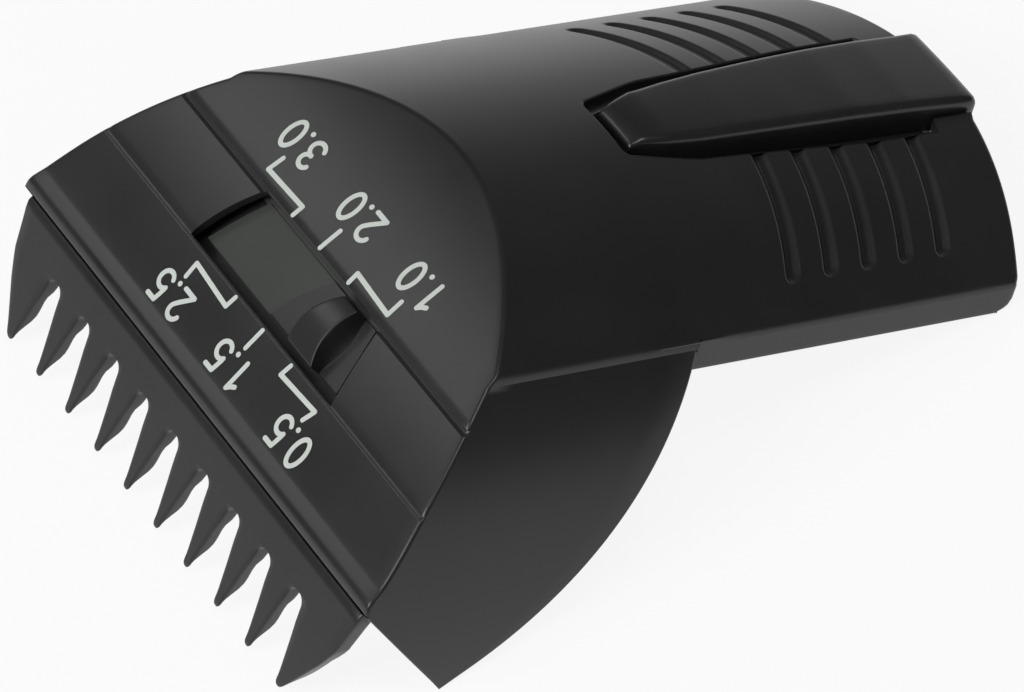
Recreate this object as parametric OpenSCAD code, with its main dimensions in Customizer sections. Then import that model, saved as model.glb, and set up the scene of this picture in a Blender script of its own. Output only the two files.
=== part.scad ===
// Adjustable comb attachment for a hair clipper: a saddle-shaped housing with a
// slanted scale face, a thumb slider that drives the comb in and out through an
// inclined slot, and a release lever on the back.
// Every piece is drawn with x across the comb, y to the rear along the sleeve and
// z out of its back, from the middle of the lip's lower edge, and then stood on
// the feet that it rests on.

/* [Face] */
// Width across the lip
lip_w = 40; // [36:0.5:44]
// Height of the lip's front strip
lip_h = 0.95; // [0.7:0.05:1.2]
// Height of the back's crown above the lip
crown_z = 15.15; // [14.5:0.05:15.6]
// How far behind the lip the face meets the crown
crown_y = 14.1; // [13:0.1:15]
// Radius of the face's gentle bow
face_r = 48; // [40:1:70]
// Height of the lower face groove above the lip
groove_low_z = 5.0; // [4.6:0.05:5.3]
// Height of the upper face groove above the lip
groove_high_z = 8.65; // [8.4:0.05:9.2]
// Width of the two face grooves
groove_w = 0.34; // [0.2:0.02:0.5]
// Depth of the two face grooves
groove_d = 0.22; // [0.1:0.02:0.4]
// Radius of the hollow above the lip
valley_r = 1.5; // [1.2:0.1:2]

/* [Sleeve] */
// Width across the sleeve's side strips
sleeve_w = 29; // [28:0.2:30]
// Radius of the back across its width
dome_r = 27; // [24:0.5:32]
// Height of the flat strip along each side of the sleeve
strip_h = 2.126; // [1.8:0.002:2.4]
// Distance from the lip to the crown's rear edge
rear_y = 48.5; // [47:0.5:54]
// Forward lean of the rear edge from the vertical, in degrees
rear_lean = 33; // [20:1:40]
// Height where the leaning rear edge turns upright
rear_knee_z = 10.9; // [10.2:0.1:11.6]
// Chamfer of the sleeve's two rear bottom corners
rear_chamfer = 0.9; // [0.4:0.1:1.4]
// Wall thickness of the housing
wall = 1.4; // [1.2:0.1:1.6]

/* [Cheeks] */
// Radius of each cheek's flare seen from the front
cheek_r = 26.1; // [24:0.1:30]
// Height of that flare's centre below the lip
cheek_drop = 6.42; // [5.5:0.1:7.5]
// Slope of the cheeks' lower front edge below the sleeve's line, in degrees
cheek_slope = 44.5; // [40:0.5:48]
// Radius of the cheeks' rear curve
cheek_rear_r = 45.7; // [42:0.5:50]
// Centre of the cheeks' rear curve ahead of the lip
cheek_rear_y = 16.55; // [14:0.5:18]
// Centre of the cheeks' rear curve above the lip
cheek_rear_z = 33.86; // [32:0.5:36]

/* [Release lever] */
// Distance from the lip to the lever's nose
lever_nose_y = 24.85; // [24.4:0.1:26]
// Half width of the lever's nose
lever_nose_x = 1.8; // [1.4:0.1:2.2]
// Half width of the lever at its rear end
lever_rear_x = 3.45; // [3:0.05:3.6]
// How far the lever stands behind the crown's rear edge
lever_over = 0.4; // [0.1:0.1:1]
// Height of the lever's top above the crown
lever_h = 0.85; // [0.5:0.05:1.2]
// Thickness that the lever reaches below the crown
lever_under = 1.4; // [1.1:0.1:1.6]
// Width of the slot beside the lever
slot_gap = 1.0; // [0.6:0.1:1.3]
// Gap beside the lever behind the slot
root_gap = 0.12; // [0.08:0.02:0.2]
// Where the slot narrows to that gap
slot_end_y = 45.2; // [43:0.2:45.6]
// Diameter of the lever's pin
lever_pin_d = 0.8; // [0.6:0.05:0.9]
// Distance from the lip to the lever's pin
lever_pin_y = 46.3; // [46:0.1:47]
// Depth of the lever's pin below the crown
lever_pin_drop = 1.15; // [1.05:0.05:1.2]
// Length of the lever's pin
lever_pin_l = 9.4; // [8.6:0.2:9.8]
// Depth of the hook under the lever's nose
hook_h = 1.1; // [0.6:0.1:1.4]

/* [Slider] */
// Length of the slider's travel from 0.5 to 3.0
slider_travel = 7.85; // [6:0.05:7.9]
// Half length of the window at the lower groove
window_low_x = 8.05; // [7.6:0.05:8.6]
// Half length of the window at the upper groove
window_high_x = 6.65; // [6.2:0.05:7.2]
// Depth of the shutter below the face
shutter_drop = 0.6; // [0.5:0.05:0.7]
// Thickness of the slider plate
slider_t = 0.75; // [0.6:0.05:0.8]
// Height of the thumb button's crest above the face
crest_h = 0.45; // [0.2:0.05:0.9]
// Diameter of the cam pin
cam_pin_d = 1.6; // [1.3:0.1:1.8]

/* [Comb] */
// Number of teeth
teeth = 10; // [6:1:12]
// How far the end teeth's tips stand inside the comb's ends
end_flare = 3.37; // [2.8:0.05:4]
// Width of a tooth's tip
tooth_tip_w = 0.5; // [0.3:0.05:0.8]
// Width of the rounded root between two teeth
gap_root_w = 1.42; // [1:0.02:1.8]
// Depth of the teeth's tips below the lip
tip_depth = 8.05; // [7.4:0.05:8.6]
// Depth of the roots between the teeth below the lip
root_depth = 2.7; // [2.4:0.1:3.2]
// Thickness of the comb
comb_t = 1.08; // [0.9:0.02:1.3]
// Lean of the comb towards the front, in degrees
comb_lean = 10.8; // [6:0.2:14]
// How far the comb's ends stand inside the lip's
comb_inset = 0.7; // [0.5:0.1:1.2]
// Gap between the lip and the comb
lip_gap = 0.35; // [0.2:0.05:0.5]
// Travel of the comb from 0.5 to 3.0
comb_travel = 2.5; // [1.5:0.1:2.6]
// Thickness of the carriage that holds the comb
carriage_t = 1.2; // [1:0.05:1.4]
// Diameter of the two kinds of small screws' threads
screw_d = 1.0; // [0.8:0.1:1.2]

/* [Fits] */
// Clearance between sliding faces
slide_gap = 0.12; // [0.08:0.01:0.2]
// Radial clearance of a pin that runs in its hole or slot
run_gap = 0.05; // [0.02:0.01:0.09]

/* [Hidden] */
thread_gap = 0.06;
$fn = 96;
eps = 0.01;
big = 80;

// The face is an arc from the lip's lower edge to the crown.
face_rise = atan2(crown_z, crown_y);
face_half = norm([crown_y, crown_z]) / 2;
face_sink = sqrt(face_r * face_r - face_half * face_half);
face_cy = crown_y / 2 + face_sink * sin(face_rise);
face_cz = crown_z / 2 - face_sink * cos(face_rise);
function face_y(z, inset = 0) =
    face_cy - sqrt(pow(face_r - inset, 2) - pow(z - face_cz, 2));

// The band between the two grooves carries the window.
band_y0 = face_y(groove_low_z);
band_y1 = face_y(groove_high_z);
band_w = norm([band_y1 - band_y0, groove_high_z - groove_low_z]);
band_a = atan2(groove_high_z - groove_low_z, band_y1 - band_y0);
module on_band() {
    translate([0, band_y0, groove_low_z])
        rotate([band_a, 0, 0])
            children();
}

// Half width of the cheeks at a height, for the outer skin or inset from it.
cheek_cx = lip_w / 2 - sqrt(cheek_r * cheek_r - cheek_drop * cheek_drop);
function cheek_x(z, inset = 0) =
    cheek_cx + sqrt(pow(cheek_r - inset, 2) - pow(z + cheek_drop, 2));
function dome_z(x, inset = 0) =
    crown_z - dome_r + sqrt(pow(dome_r - inset, 2) - x * x);

// The sleeve's flat sides end on this level, below the dome's edge.
strip_z = dome_z(sleeve_w / 2) - strip_h;

// The toe is where the cheeks' straight edge meets their rear curve.
toe_dir = [cos(cheek_slope), -sin(cheek_slope)];
toe_b = toe_dir * [-cheek_rear_y, cheek_rear_z];
toe_c = cheek_rear_y * cheek_rear_y + cheek_rear_z * cheek_rear_z - cheek_rear_r * cheek_rear_r;
toe_l = toe_b + sqrt(toe_b * toe_b - toe_c);
toe = toe_l * toe_dir;

// The part rests on both toes and on the rear bottom corners of the sleeve.
knee_y = rear_y - (crown_z - rear_knee_z) * tan(rear_lean);
foot = [knee_y - rear_chamfer, strip_z];
rest_tilt = atan2(foot[1] - toe[1], foot[0] - toe[0]);
function rest_y(p) = p[0] * cos(rest_tilt) + p[1] * sin(rest_tilt);
function rest_z(p) = p[1] * cos(rest_tilt) - p[0] * sin(rest_tilt);
lever_rear_y = rear_y + lever_over;
lever_rear_fall = 0.3;
front_y = rest_y([comb_face_y(-tip_depth), -tip_depth]);
back_y = rest_y([lever_rear_y, crown_z + lever_h - lever_rear_fall]);
module stand() {
    translate([0, -(front_y + back_y) / 2, -rest_z(toe)])
        rotate([-rest_tilt, 0, 0])
            children();
}

// Extrusions of an outline across the part, and along it from y0 to y1.
module across(w) {
    rotate([90, 0, 90])
        linear_extrude(w, center = true)
            children();
}
module along(y0, y1) {
    translate([0, y1, 0])
        rotate([90, 0, 0])
            linear_extrude(y1 - y0)
                children();
}

// Outlines of the section across the part, inset by a wall.
module dome_section(inset) {
    translate([0, crown_z - dome_r])
        circle(dome_r - inset, $fn = 240);
}
module cheek_section(inset) {
    intersection() {
        dome_section(inset);
        translate([cheek_cx, -cheek_drop])
            circle(cheek_r - inset, $fn = 240);
        translate([-cheek_cx, -cheek_drop])
            circle(cheek_r - inset, $fn = 240);
    }
}
module sleeve_section(inset, bottom) {
    intersection() {
        dome_section(inset);
        translate([-sleeve_w / 2 + inset, bottom])
            square([sleeve_w - 2 * inset, big]);
    }
}

// Outlines of the side view: all that lies behind the face, inset by a wall.
module behind_face(inset) {
    translate([face_cy, face_cz])
        circle(face_r - inset, $fn = 360);
}
module sleeve_side() {
    intersection() {
        behind_face(0);
        polygon([[0, strip_z], [foot[0], foot[1]], [knee_y, strip_z + rear_chamfer],
            [knee_y, rear_knee_z], [rear_y + tan(rear_lean), crown_z + 1], [0, crown_z + 1]]);
    }
}
// The room between the cheeks stops short of their rear edge above the strip.
module cheek_room() {
    intersection() {
        behind_face(wall);
        union() {
            translate([-cheek_rear_y, cheek_rear_z])
                circle(cheek_rear_r - wall, $fn = 360);
            translate([-5, -30])
                square([60, 30 + strip_z - 0.6]);
        }
    }
    translate([-10, -30])
        square([60, 30]);
}
module cheek_side() {
    intersection() {
        behind_face(0);
        translate([-cheek_rear_y, cheek_rear_z])
            circle(cheek_rear_r, $fn = 360);
        polygon([[0, 0], toe * 1.2, [toe[0] * 4, toe[1] * 1.2], [toe[0] * 4, 11],
            [0, 11], [-2, 11], [-2, 0]]);
    }
}

// The lip is a small upright strip along the face's foot, under a hollow.
lip_back = 1.2;
valley_z = 1.5;
valley_y = face_y(valley_z) + 0.16;
module lip_side() {
    polygon([[0, 0], [0, lip_h - 0.15], [0.15, lip_h], [0.4, lip_h + 0.1],
        [lip_back, lip_h], [lip_back, 0]]);
}
module valley_side() {
    translate([valley_y - valley_r * 0.85, valley_z + valley_r * 0.52])
        circle(valley_r);
}

// The window, as an outline on the band.
module window_outline() {
    polygon([[-window_low_x, 0], [window_low_x, 0], [window_high_x, band_w], [-window_high_x, band_w]]);
}

// The slider track behind the window, and the slider plate that runs in it.
track_top = shutter_drop - slide_gap / 2;
plate_margin = 0.45;
module plate_outline() {
    polygon([[-window_low_x - plate_margin, -plate_margin],
        [window_low_x + plate_margin + slider_travel, -plate_margin],
        [window_high_x + plate_margin + slider_travel, band_w + plate_margin],
        [-window_high_x - plate_margin, band_w + plate_margin]]);
}
module track_outline() {
    low = window_low_x + plate_margin + slider_travel + slide_gap;
    high = window_high_x + plate_margin + slider_travel + slide_gap;
    polygon([[-low, -plate_margin - slide_gap], [low, -plate_margin - slide_gap],
        [high, band_w + plate_margin + slide_gap], [-high, band_w + plate_margin + slide_gap]]);
}

// The retainer closes the track from inside and stands on four bosses.
plate_z = -shutter_drop - slider_t;
retainer_z = plate_z - slide_gap;
retainer_t = 0.9;
seat_gap = 0.15;
retainer_x = 13.2;
boss_d = 2.6;
boss_x = 11.6;
boss_y0 = -1.9;
boss_y1 = band_w + 2.0;
boss_points = [for (x = [-boss_x, boss_x]) for (y = [boss_y0, boss_y1]) [x, y]];
screw_head_d = 1.9;
screw_head_t = 0.55;
screw_l = 1.9;

// The leaf spring lies in the slider plate's back.
spring_t = 0.15;
spring_w = 0.8;
spring_l = 5.2;

// The cam pin stands upright under the slider and drives the carriage.
cam_y = 7.0;
cam_x = slider_travel / 2;
arm_half = 1.5;
arm_half_y = 1.2;
slot_play = 0.3;
carriage_top = -lip_gap - 0.15;
carriage_z = carriage_top - carriage_t;
cam_slot_a = atan2(comb_travel, slider_travel);
carriage_side = 1.35;
carriage_half = cheek_x(0, wall) - carriage_side;
carriage_front = 1.5;
carriage_back = 11.9;
rail_t = 0.9;
rail_grip = 1.1;
rail_reach = 2;
rail_y0 = 3.4;
rail_y1 = 12.6;

// The comb's front plane, and its outline seen square to it.
function comb_face_y(z) = (z + 0.74) * tan(comb_lean);
root_r = gap_root_w / 2;
comb_top = lip_gap;
comb_half_w = lip_w / 2 - comb_inset;
tooth_pitch = 2 * (comb_half_w - end_flare) / (teeth - 1);
tooth_x0 = -(teeth - 1) / 2 * tooth_pitch;

module housing_shell() {
    color([0.15, 0.15, 0.15])
        stand()
            difference() {
                union() {
                    shell_body();
                    retainer_bosses();
                    carriage_rails();
                    fit_ribs();
                }
                lever_slot();
                retainer_seat();
                window_cut();
                face_grooves();
                grip_grooves();
                lever_pin_bore();
                boss_bores();
            }
}
module shell_body() {
    difference() {
        union() {
            intersection() {
                along(-1, 30) cheek_section(0);
                across(big) difference() { cheek_side(); valley_side(); }
            }
            intersection() {
                along(-1, 60) sleeve_section(0, strip_z);
                across(big) sleeve_side();
            }
            intersection() {
                along(-1, 30) cheek_section(0);
                across(big) lip_side();
            }
        }
        intersection() {
            along(-10, 30) cheek_section(wall);
            across(big) cheek_room();
        }
        intersection() {
            along(-1, 60) sleeve_section(wall, -10);
            across(big) behind_face(wall);
        }
    }
}
// The retainer lies on a flat seat inside the curved face.
module retainer_seat() {
    on_band()
        translate([0, 0, retainer_z - 2])
            linear_extrude(2)
                retainer_outline(seat_gap);
}
module retainer_outline(g) {
    polygon([[-retainer_x - g, boss_y0 - 1.1 - g], [retainer_x + g, boss_y0 - 1.1 - g],
        [retainer_x - 0.6 + g, boss_y1 + 1.0 + g], [-retainer_x + 0.6 - g, boss_y1 + 1.0 + g]]);
}
module retainer_bosses() {
    intersection() {
        on_band()
            for (p = boss_points)
                translate([p[0], p[1], retainer_z])
                    cylinder(h = -retainer_z - 0.5, d = boss_d);
        intersection() {
            along(-1, 30) cheek_section(wall / 2);
            across(big) behind_face(wall / 2);
        }
    }
}
module carriage_rails() {
    for (s = [-1, 1])
        intersection() {
            union() {
                rail_box(s, carriage_top + slide_gap);
                rail_box(s, carriage_z - slide_gap - rail_t);
            }
            along(-1, 30) cheek_section(wall / 2);
            across(big) cheek_side();
        }
}
module rail_box(s, z) {
    translate([s * (carriage_half + rail_reach) - rail_reach - rail_grip, rail_y0, z])
        cube([2 * (rail_reach + rail_grip), rail_y1 - rail_y0, rail_t]);
}
module fit_ribs() {
    for (x = [-8.8, 8.8])
        translate([x - 0.4, 17, dome_z(x, wall) - 0.5])
            cube([0.8, 24, 1.0]);
}
module lever_slot() {
    translate([0, 0, crown_z - 4])
        linear_extrude(8)
            polygon(concat(slot_side(1), slot_root(1), backwards(slot_root(-1)), backwards(slot_side(-1))));
}
function lever_x(y) =
    let (t = max(0, (y - lever_nose_y) / (lever_rear_y - lever_nose_y)))
        lever_nose_x + (lever_rear_x - lever_nose_x) * pow(t, 0.62);
function slot_side(s, g = 0) = [
    [s * (lever_nose_x + 0.7 - g), lever_nose_y - slot_gap * 0.85 + g],
    for (t = [0.12 : 0.11 : 0.92]) let (y = lever_nose_y + t * (slot_end_y - lever_nose_y))
        [s * (lever_x(y) + slot_gap - g), y],
    [s * (lever_x(slot_end_y - g) + slot_gap - g), slot_end_y - g]];
function slot_root(s) = [
    [s * (lever_rear_x + root_gap), slot_end_y + 0.4],
    [s * (lever_rear_x + root_gap), rear_y + 4]];
function backwards(list) = [for (i = [len(list) - 1 : -1 : 0]) list[i]];
module window_cut() {
    on_band() {
        translate([0, 0, -4])
            linear_extrude(8)
                window_outline();
        translate([0, 0, -4])
            linear_extrude(4 - track_top)
                track_outline();
    }
}
module face_grooves() {
    for (z = [groove_low_z, groove_high_z])
        translate([0, face_y(z), z])
            rotate([band_a, 0, 0])
                cube([big, groove_w, 2 * groove_d], center = true);
}

// Five grip grooves on each side of the lever, on planes that lean forward.
grip_count = 5;
grip_pitch = 2.72;
grip_y0 = 32.6;
grip_w = 0.9;
grip_d = 0.28;
grip_lean = 37.7;
grip_x0 = 4.6;
grip_x1 = 12.3;
module grip_grooves() {
    intersection() {
        along(20, 60)
            difference() {
                translate([0, crown_z - dome_r]) circle(dome_r + 1, $fn = 240);
                dome_section(grip_d);
            }
        for (i = [0 : grip_count - 1])
            translate([0, grip_y0 + i * grip_pitch, crown_z])
                rotate([-grip_lean, 0, 0])
                    for (s = [-1, 1])
                        translate([s * (grip_x0 + grip_x1) / 2, 0, 0])
                            cube([grip_x1 - grip_x0, grip_w, 16], center = true);
    }
}
module lever_pin_bore() {
    translate([0, lever_pin_y, crown_z - lever_pin_drop])
        rotate([0, 90, 0])
            cylinder(h = lever_pin_l + 0.2, d = lever_pin_d, center = true);
}
module boss_bores() {
    on_band()
        for (p = boss_points)
            translate([p[0], p[1], retainer_z - eps])
                cylinder(h = screw_l - retainer_t + 0.1, d = screw_d + thread_gap);
}

retainer_slot_y = band_w / 2 - arm_half_y - slot_play;
module slider_retainer() {
    color([0.2, 0.2, 0.2])
        stand()
            on_band()
                difference() {
                    translate([0, 0, retainer_z - retainer_t])
                        linear_extrude(retainer_t)
                            retainer_outline(0);
                    translate([-cam_x - arm_half - slot_play, retainer_slot_y, retainer_z - 3])
                        cube([slider_travel + 2 * (arm_half + slot_play), 2 * (arm_half_y + slot_play), 6]);
                    for (p = boss_points)
                        translate([p[0], p[1], retainer_z - 3])
                            cylinder(h = 6, d = screw_d + 0.3);
                    detent_notches();
                }
}
// Six notches, one for each half millimetre on the scale.
notch_count = 6;
notch_y = band_w / 2 + arm_half_y + slot_play + 0.15 + spring_w / 2;
notch_d = 0.7;
module detent_notches() {
    for (i = [0 : notch_count - 1])
        translate([cam_x - i * slider_travel / (notch_count - 1), notch_y, retainer_z])
            rotate([90, 0, 0])
                cylinder(h = 1.0, d = notch_d, center = true, $fn = 24);
}
module retainer_screws() {
    color([0.7, 0.7, 0.72])
        stand()
            on_band()
                for (p = boss_points)
                    translate([p[0], p[1], retainer_z - retainer_t])
                        small_screw(screw_l);
}
// A small pan-head screw pointing along +z, its head's underside at z = 0.
module small_screw(l) {
    difference() {
        union() {
            cylinder(h = l, d = screw_d);
            translate([0, 0, -screw_head_t])
                cylinder(h = screw_head_t, d = screw_head_d);
        }
        for (a = [0, 90])
            rotate([0, 0, a])
                translate([-0.7, -0.15, -screw_head_t - eps])
                    cube([1.4, 0.3, 0.35]);
    }
}
// Two soft pads inside the side strips take up the play on the clipper's neck.
pad_t = 0.5;
pad_gap = 0.1;
pad_y0 = 27;
pad_y1 = 41;
pad_x = sleeve_w / 2 - wall;
pad_h = dome_z(pad_x, wall) - strip_z - 2 * pad_gap;
module fit_pads() {
    color([0.1, 0.1, 0.1])
        stand()
            for (x = [-pad_x, pad_x - pad_t])
                translate([x, pad_y0, strip_z + pad_gap])
                    cube([pad_t, pad_y1 - pad_y0, pad_h]);
}

module slider_plate() {
    color([0.3, 0.3, 0.28])
        stand()
            difference() {
                union() {
                    on_band() {
                        translate([0, 0, plate_z])
                            linear_extrude(slider_t)
                                plate_outline();
                        translate([cam_x - arm_half, band_w / 2 - arm_half_y, arm_z])
                            cube([2 * arm_half, 2 * arm_half_y, plate_z - arm_z + 0.1]);
                    }
                    cam_stalk();
                }
                cam_pin_hole();
                on_band() {
                    for (x = peg_x)
                        translate([x, band_w / 2, plate_z - 1])
                            cylinder(h = 3, d = peg_d + 0.04);
                    spring_seat(0.02);
                }
            }
}
// The stalk carries the cam pin's upper end, under the arm.
arm_z = retainer_z - retainer_t - 1.2;
stalk_top = 4.2;
stalk_z = 1.2;
stalk_front = 1.2;
stalk_half = 1.35;
module cam_stalk() {
    translate([cam_x - stalk_half, cam_y - stalk_front, stalk_z])
        cube([2 * stalk_half, stalk_front + 1.45, stalk_top - stalk_z]);
}
module cam_pin_hole() {
    translate([cam_x, cam_y, stalk_z - 1])
        cylinder(h = 3.4, d = cam_pin_d);
}
module cam_pin() {
    color([0.75, 0.75, 0.77])
        stand()
            translate([cam_x, cam_y, carriage_z - 0.3])
                cylinder(h = stalk_z + 2.4 - carriage_z + 0.3, d = cam_pin_d);
}
// The thumb button stands on the plate inside the window, on two pegs.
button_x0 = 1.2;
peg_d = 1.1;
peg_x = [cam_x - 2.3, cam_x + 2.3];
module thumb_button() {
    color([0.22, 0.22, 0.22])
        stand()
            on_band() {
                intersection() {
                    translate([0, band_w - 0.12, 0])
                        rotate([90, 0, 0])
                            linear_extrude(band_w - 0.24)
                                button_side();
                    translate([0, 0, -2])
                        linear_extrude(6)
                            button_outline();
                }
                for (x = peg_x)
                    translate([x, band_w / 2, plate_z + 0.05])
                        cylinder(h = slider_t, d = peg_d);
            }
}
module button_side() {
    polygon([[button_x0, -shutter_drop], [button_x0 + 1.3, -0.15], [cam_x - 0.9, crest_h * 0.75],
        [cam_x + 0.4, crest_h], [cam_x + 0.9, crest_h * 0.8], [cam_x + 1.15, -0.35],
        [cam_x + 1.7, -0.45], [window_low_x, -0.05], [window_low_x, -shutter_drop]]);
}
module button_outline() {
    polygon([[button_x0 - 0.9, 0.12], [window_low_x - 0.15, 0.12],
        [window_high_x - 0.05, band_w - 0.12], [button_x0 + 0.9, band_w - 0.12]]);
}
// A leaf spring on the slider's back clicks into the retainer's notches.
module spring_seat(g) {
    translate([cam_x - spring_l / 2 - g, notch_y - spring_w / 2 - g, plate_z - eps])
        cube([spring_l + 2 * g, spring_w + 2 * g, spring_t + g + eps]);
}
module detent_spring() {
    color([0.75, 0.75, 0.77])
        stand()
            on_band() {
                translate([cam_x - spring_l / 2, notch_y - spring_w / 2, plate_z])
                    cube([spring_l, spring_w, spring_t]);
                intersection() {
                    translate([cam_x, notch_y, retainer_z + 0.14])
                        rotate([90, 0, 0])
                            cylinder(h = spring_w - 0.2, d = notch_d - 0.1, center = true, $fn = 24);
                    translate([cam_x - 1, notch_y - 1, plate_z - 1])
                        cube([2, 2, 1 + spring_t / 2]);
                }
            }
}

// The comb is drawn square to its front plane: x across, y down the teeth,
// z to the rear.
comb_len = (tip_depth - comb_top) / cos(comb_lean);
function down(z) = (-z - comb_top) / cos(comb_lean);
module on_comb() {
    translate([0, comb_face_y(-comb_top), -comb_top])
        rotate([-90 - comb_lean, 0, 0])
            children();
}
module comb() {
    color([0.2, 0.2, 0.2])
        stand()
            difference() {
                intersection() {
                    on_comb()
                        linear_extrude(comb_t)
                            comb_outline();
                    across(big) comb_side();
                }
                comb_screw_holes();
            }
}
module comb_outline() {
    difference() {
        end_outline();
        for (i = [0 : teeth - 2])
            translate([tooth_x0 + (i + 0.5) * tooth_pitch, 0])
                gap_outline();
    }
}
// Each gap is round at its root and widens down to the tips.
module gap_outline() {
    root_y = down(-root_depth) + root_r;
    tip_half = (tooth_pitch - tooth_tip_w) / 2;
    translate([0, root_y])
        circle(root_r);
    polygon([[-root_r, root_y], [root_r, root_y], [tip_half, comb_len], [tip_half, comb_len + 2],
        [-tip_half, comb_len + 2], [-tip_half, comb_len]]);
}
// The end teeth sweep out from their tips to the comb's full width.
module end_outline() {
    tip_x = -tooth_x0 + tooth_tip_w / 2;
    side = [[comb_half_w - 0.7, 0], [comb_half_w, comb_len * 0.06], [comb_half_w - 0.3, comb_len * 0.25],
        [comb_half_w - 0.5, comb_len * 0.41], [comb_half_w - 1.2, comb_len * 0.6],
        [comb_half_w - 2.7, comb_len * 0.915], [tip_x, comb_len]];
    polygon(concat(side, [for (i = [len(side) - 1 : -1 : 0]) [-side[i][0], side[i][1]]]));
}
// Side view of the comb: the teeth thin out behind their tips, and the
// top corner is cut back parallel to the cheeks' edge.
module comb_side() {
    front = comb_face_y(-tip_depth);
    polygon([[-4, -tip_depth], [front + 0.25, -tip_depth], [front + comb_t + 0.25, -tip_depth + 1.9],
        [3, -tip_depth + 4], [3, -3.15 - comb_top], [-0.15, -comb_top], [-4, -comb_top]]);
}
comb_screw_x = [for (i = [-3.5, -1.5, 1.5, 3.5]) i * tooth_pitch];
comb_screw_z = -1.75;
module comb_screw_holes() {
    for (x = comb_screw_x)
        on_comb()
            translate([x, down(comb_screw_z), comb_t - 0.7])
                cylinder(h = 1, d = screw_d + thread_gap);
}
module comb_carriage() {
    color([0.2, 0.2, 0.2])
        stand()
            difference() {
                union() {
                    translate([-carriage_half, carriage_front, carriage_z])
                        cube([2 * carriage_half, carriage_back - carriage_front, carriage_t]);
                    across(2 * (carriage_half - flange_inset))
                        carriage_flange();
                }
                cam_slot();
                carriage_holes();
                carriage_window();
            }
}
// The flange hangs from the carriage's front edge and holds the comb's back.
flange_t = 1.0;
head_seat_z = comb_t + flange_t * cos(comb_lean) - 0.1;
flange_z = -2.62;
flange_inset = 1.2;
module carriage_flange() {
    polygon([[comb_back_y(carriage_top), carriage_top], [comb_back_y(flange_z), flange_z],
        [comb_back_y(flange_z) + flange_t, flange_z],
        [comb_back_y(carriage_top) + flange_t, carriage_top]]);
}
function comb_back_y(z) = comb_face_y(z) + comb_t / cos(comb_lean);
module cam_slot() {
    slot_r = cam_pin_d / 2 + run_gap;
    for (t = [0, 1])
        translate([cam_x - t * slider_travel, cam_y + t * comb_travel, carriage_z - 1])
            cylinder(h = carriage_t + 2, r = slot_r + 0.04);
    translate([cam_x, cam_y, carriage_z - 1])
        rotate([0, 0, 180 - cam_slot_a])
            translate([0, -slot_r, 0])
                cube([norm([slider_travel, comb_travel]), 2 * slot_r, carriage_t + 2]);
}
module carriage_holes() {
    for (x = comb_screw_x)
        on_comb() {
            translate([x, down(comb_screw_z), comb_t - 0.5])
                cylinder(h = head_seat_z - comb_t + 0.9, d = screw_d + 0.1);
            translate([x - screw_head_d / 2 - 0.2, -2, head_seat_z])
                cube([screw_head_d + 0.4, 6, screw_head_t + 0.3]);
        }
}
// Two openings lighten the carriage on either side of the slot.
module carriage_window() {
    for (s = [-1, 1])
        translate([s * (carriage_half + cam_x + 1.6) / 2 - 3.4, 5.4, carriage_z - 1])
            cube([6.8, 4.4, 4]);
}
module comb_screws() {
    color([0.7, 0.7, 0.72])
        stand()
            for (x = comb_screw_x)
                on_comb()
                    translate([x, down(comb_screw_z), head_seat_z])
                        mirror([0, 0, 1])
                            small_screw(flange_t + 0.55);
}

module release_lever() {
    color([0.14, 0.14, 0.14])
        stand()
            difference() {
                union() {
                    intersection() {
                        linear_extrude(big)
                            lever_outline();
                        across(big) lever_side();
                    }
                    lever_hook();
                    lever_skirt();
                }
                translate([0, lever_pin_y, crown_z - lever_pin_drop])
                    rotate([0, 90, 0])
                        cylinder(h = 20, d = lever_pin_d + 2 * run_gap, center = true);
            }
}
// The skirt fills the slot under the lever, just inside its sides.
skirt_h = 0.45;
skirt_gap = 0.18;
module lever_skirt() {
    translate([0, 0, crown_z - lever_under])
        linear_extrude(skirt_h)
            polygon(concat(slot_side(1, skirt_gap), backwards(slot_side(-1, skirt_gap))));
}
module lever_outline() {
    steps = 12;
    ys = [for (i = [0 : steps]) lever_nose_y + i / steps * (lever_rear_y - 0.5 - lever_nose_y)];
    right = [for (y = ys) [lever_x(y), y]];
    left = [for (y = ys) [-lever_x(y), y]];
    rear = [[lever_rear_x - 0.35, lever_rear_y], [-lever_rear_x + 0.35, lever_rear_y]];
    polygon(concat(right, rear, backwards(left)));
}
module lever_side() {
    nose = [[lever_nose_y, crown_z - lever_under], [lever_nose_y, crown_z - 0.5],
        [lever_nose_y + 0.5, crown_z + 0.1], [lever_nose_y + 2.2, crown_z + lever_h * 0.55]];
    top = [[lever_nose_y + 7.5, crown_z + lever_h * 0.85], [lever_nose_y + 14, crown_z + lever_h],
        [lever_rear_y - 5, crown_z + lever_h * 0.9]];
    rear = [[lever_rear_y - 0.8, crown_z + lever_h - lever_rear_fall], [lever_rear_y, crown_z + 0.1],
        [lever_rear_y - 0.4, crown_z - lever_under]];
    polygon(concat(nose, top, rear));
}
module lever_hook() {
    across(3)
        polygon([[lever_nose_y + 0.8, crown_z - lever_under + eps],
            [lever_nose_y + 0.8, crown_z - lever_under - hook_h],
            [lever_nose_y + 1.4, crown_z - lever_under - hook_h],
            [lever_nose_y + 3.0, crown_z - lever_under + eps]]);
}
module lever_pin() {
    color([0.75, 0.75, 0.77])
        stand()
            translate([0, lever_pin_y, crown_z - lever_pin_drop])
                rotate([0, 90, 0])
                    cylinder(h = lever_pin_l, d = lever_pin_d, center = true);
}

housing_shell();
slider_retainer();
retainer_screws();
fit_pads();
slider_plate();
thumb_button();
cam_pin();
detent_spring();
comb();
comb_carriage();
comb_screws();
release_lever();
lever_pin();
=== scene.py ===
import math

import bmesh
import bpy
import numpy as np
from mathutils import Matrix


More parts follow.
